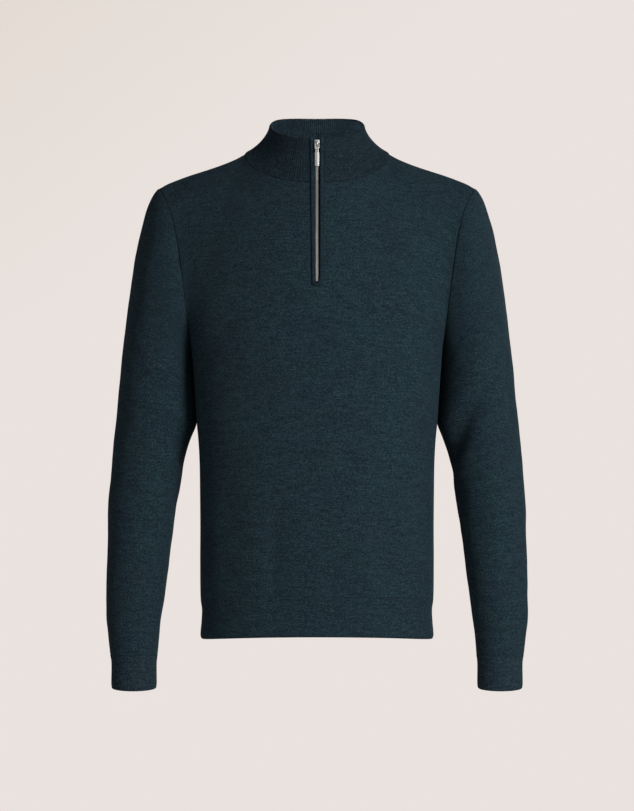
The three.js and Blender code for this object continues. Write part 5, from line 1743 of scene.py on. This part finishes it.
class SWEATER_OT_stage(bpy.types.Operator):
    """Set up the pale floor and backdrop, the studio lights and the camera"""

    bl_idname = "sweater.stage"
    bl_label = "Stage"
    bl_options = {"REGISTER", "UNDO"}

    def execute(self, context):
        settings = context.scene.sweater
        self.set_backdrop(context.scene, settings)
        self.add_floor(settings)
        for lamp in LAMPS:
            self.add_lamp(**lamp)
        self.add_camera(context.scene)
        context.scene.view_settings.view_transform = "Standard"
        return {"FINISHED"}

    @staticmethod
    def set_backdrop(scene, settings):
        """Pale paper all round with painted shade up on the left, and a dimmer light from it on the cloth.
        """
        shader = Shader("studio", "worlds")
        direction = shader.node("ShaderNodeTexCoord", None, None, output=0)
        along = shader.node(
            "ShaderNodeVectorMath", {"operation": "DOT_PRODUCT"}, {0: direction, 1: BACKDROP_SLOPE}, output=1
        )
        corner = shader.node(
            "ShaderNodeMapRange", {"interpolation_type": "SMOOTHSTEP"}, {"Value": along, **BACKDROP_SHADE}
        )
        pale = shade(settings.backdrop_colour, 1)
        # Painted shade: the paper that the camera sees turns darker up on the left
        paper = shader.mix_colours(corner, pale, shade(settings.backdrop_colour, 0.92, (1.01, 1.0, 0.96)))
        seen = shader.node("ShaderNodeBackground", None, {"Color": paper, "Strength": 1.0})
        glow = shader.node("ShaderNodeBackground", None, {"Color": pale, "Strength": settings.soft_light})
        camera_ray = shader.node("ShaderNodeLightPath", None, None, output=0)
        both = shader.node("ShaderNodeMixShader", None, {0: camera_ray, 1: glow, 2: seen})
        scene.world = shader.show(both, "ShaderNodeOutputWorld")

    @staticmethod
    def add_floor(settings):
        mesh = bpy.data.meshes.new("floor")
        shape = bmesh.new()
        bmesh.ops.create_circle(shape, cap_ends=True, segments=96, radius=FLOOR_RADIUS)
        bmesh.ops.inset_region(shape, faces=shape.faces[:], thickness=FLOOR_RIM)
        shape.to_mesh(mesh)
        shape.free()
        floor = bpy.data.objects.new("floor", mesh)
        floor.location.z = FLOOR_Z * MM
        bpy.context.scene.collection.objects.link(floor)
        mesh.materials.append(pale_floor(settings))

    @staticmethod
    def add_lamp(name, place, aim, size, power):
        light = bpy.data.lights.new(name, "AREA")
        light.shape = "DISK"
        light.size = size
        light.energy = power
        lamp = bpy.data.objects.new(name, light)
        lamp.location = place
        lamp.rotation_euler = (Vector(aim) - Vector(place)).to_track_quat("-Z", "Y").to_euler()
        lamp.visible_camera = False
        bpy.context.scene.collection.objects.link(lamp)

    @staticmethod
    def add_camera(scene):
        view = bpy.data.cameras.new("camera")
        view.sensor_width = SENSOR
        view.lens = SENSOR * CAMERA_DISTANCE / PICTURE_LONG_SIDE
        view.clip_end = 100
        camera = bpy.data.objects.new("camera", view)
        camera.location = (0, -CAMERA_DISTANCE * MM, PICTURE_MIDDLE_Z * MM)
        camera.rotation_euler = (math.pi / 2, 0, 0)
        scene.collection.objects.link(camera)
        scene.camera = camera


OPERATORS = (
    SWEATER_OT_torso,
    SWEATER_OT_hem,
    SWEATER_OT_sleeves,
    SWEATER_OT_collar,
    SWEATER_OT_cuffs,
    SWEATER_OT_zip_trim,
    SWEATER_OT_zip_tapes,
    SWEATER_OT_zip_teeth,
    SWEATER_OT_zip_slider,
    SWEATER_OT_zip_pull,
    SWEATER_OT_seams,
    SWEATER_OT_stage,
)


class SWEATER_PT_panel(bpy.types.Panel):
    """Lists the sweater's settings and the pieces that can be built"""

    bl_idname = "SWEATER_PT_panel"
    bl_label = "Sweater"
    bl_space_type = "VIEW_3D"
    bl_region_type = "UI"
    bl_category = "Sweater"

    def draw(self, context):
        settings = context.scene.sweater
        for name in SweaterSettings.__annotations__:
            self.layout.prop(settings, name)
        for operator in OPERATORS:
            self.layout.operator(operator.bl_idname)


CLASSES = (SweaterSettings, *OPERATORS, SWEATER_PT_panel)


def register():
    for cls in CLASSES:
        bpy.utils.register_class(cls)
    bpy.types.Scene.sweater = PointerProperty(type=SweaterSettings)


def unregister():
    del bpy.types.Scene.sweater
    for cls in reversed(CLASSES):
        bpy.utils.unregister_class(cls)


def main():
    register()
    for operator in OPERATORS:
        group, name = operator.bl_idname.split(".")
        getattr(getattr(bpy.ops, group), name)()


if __name__ == "__main__":
    main()
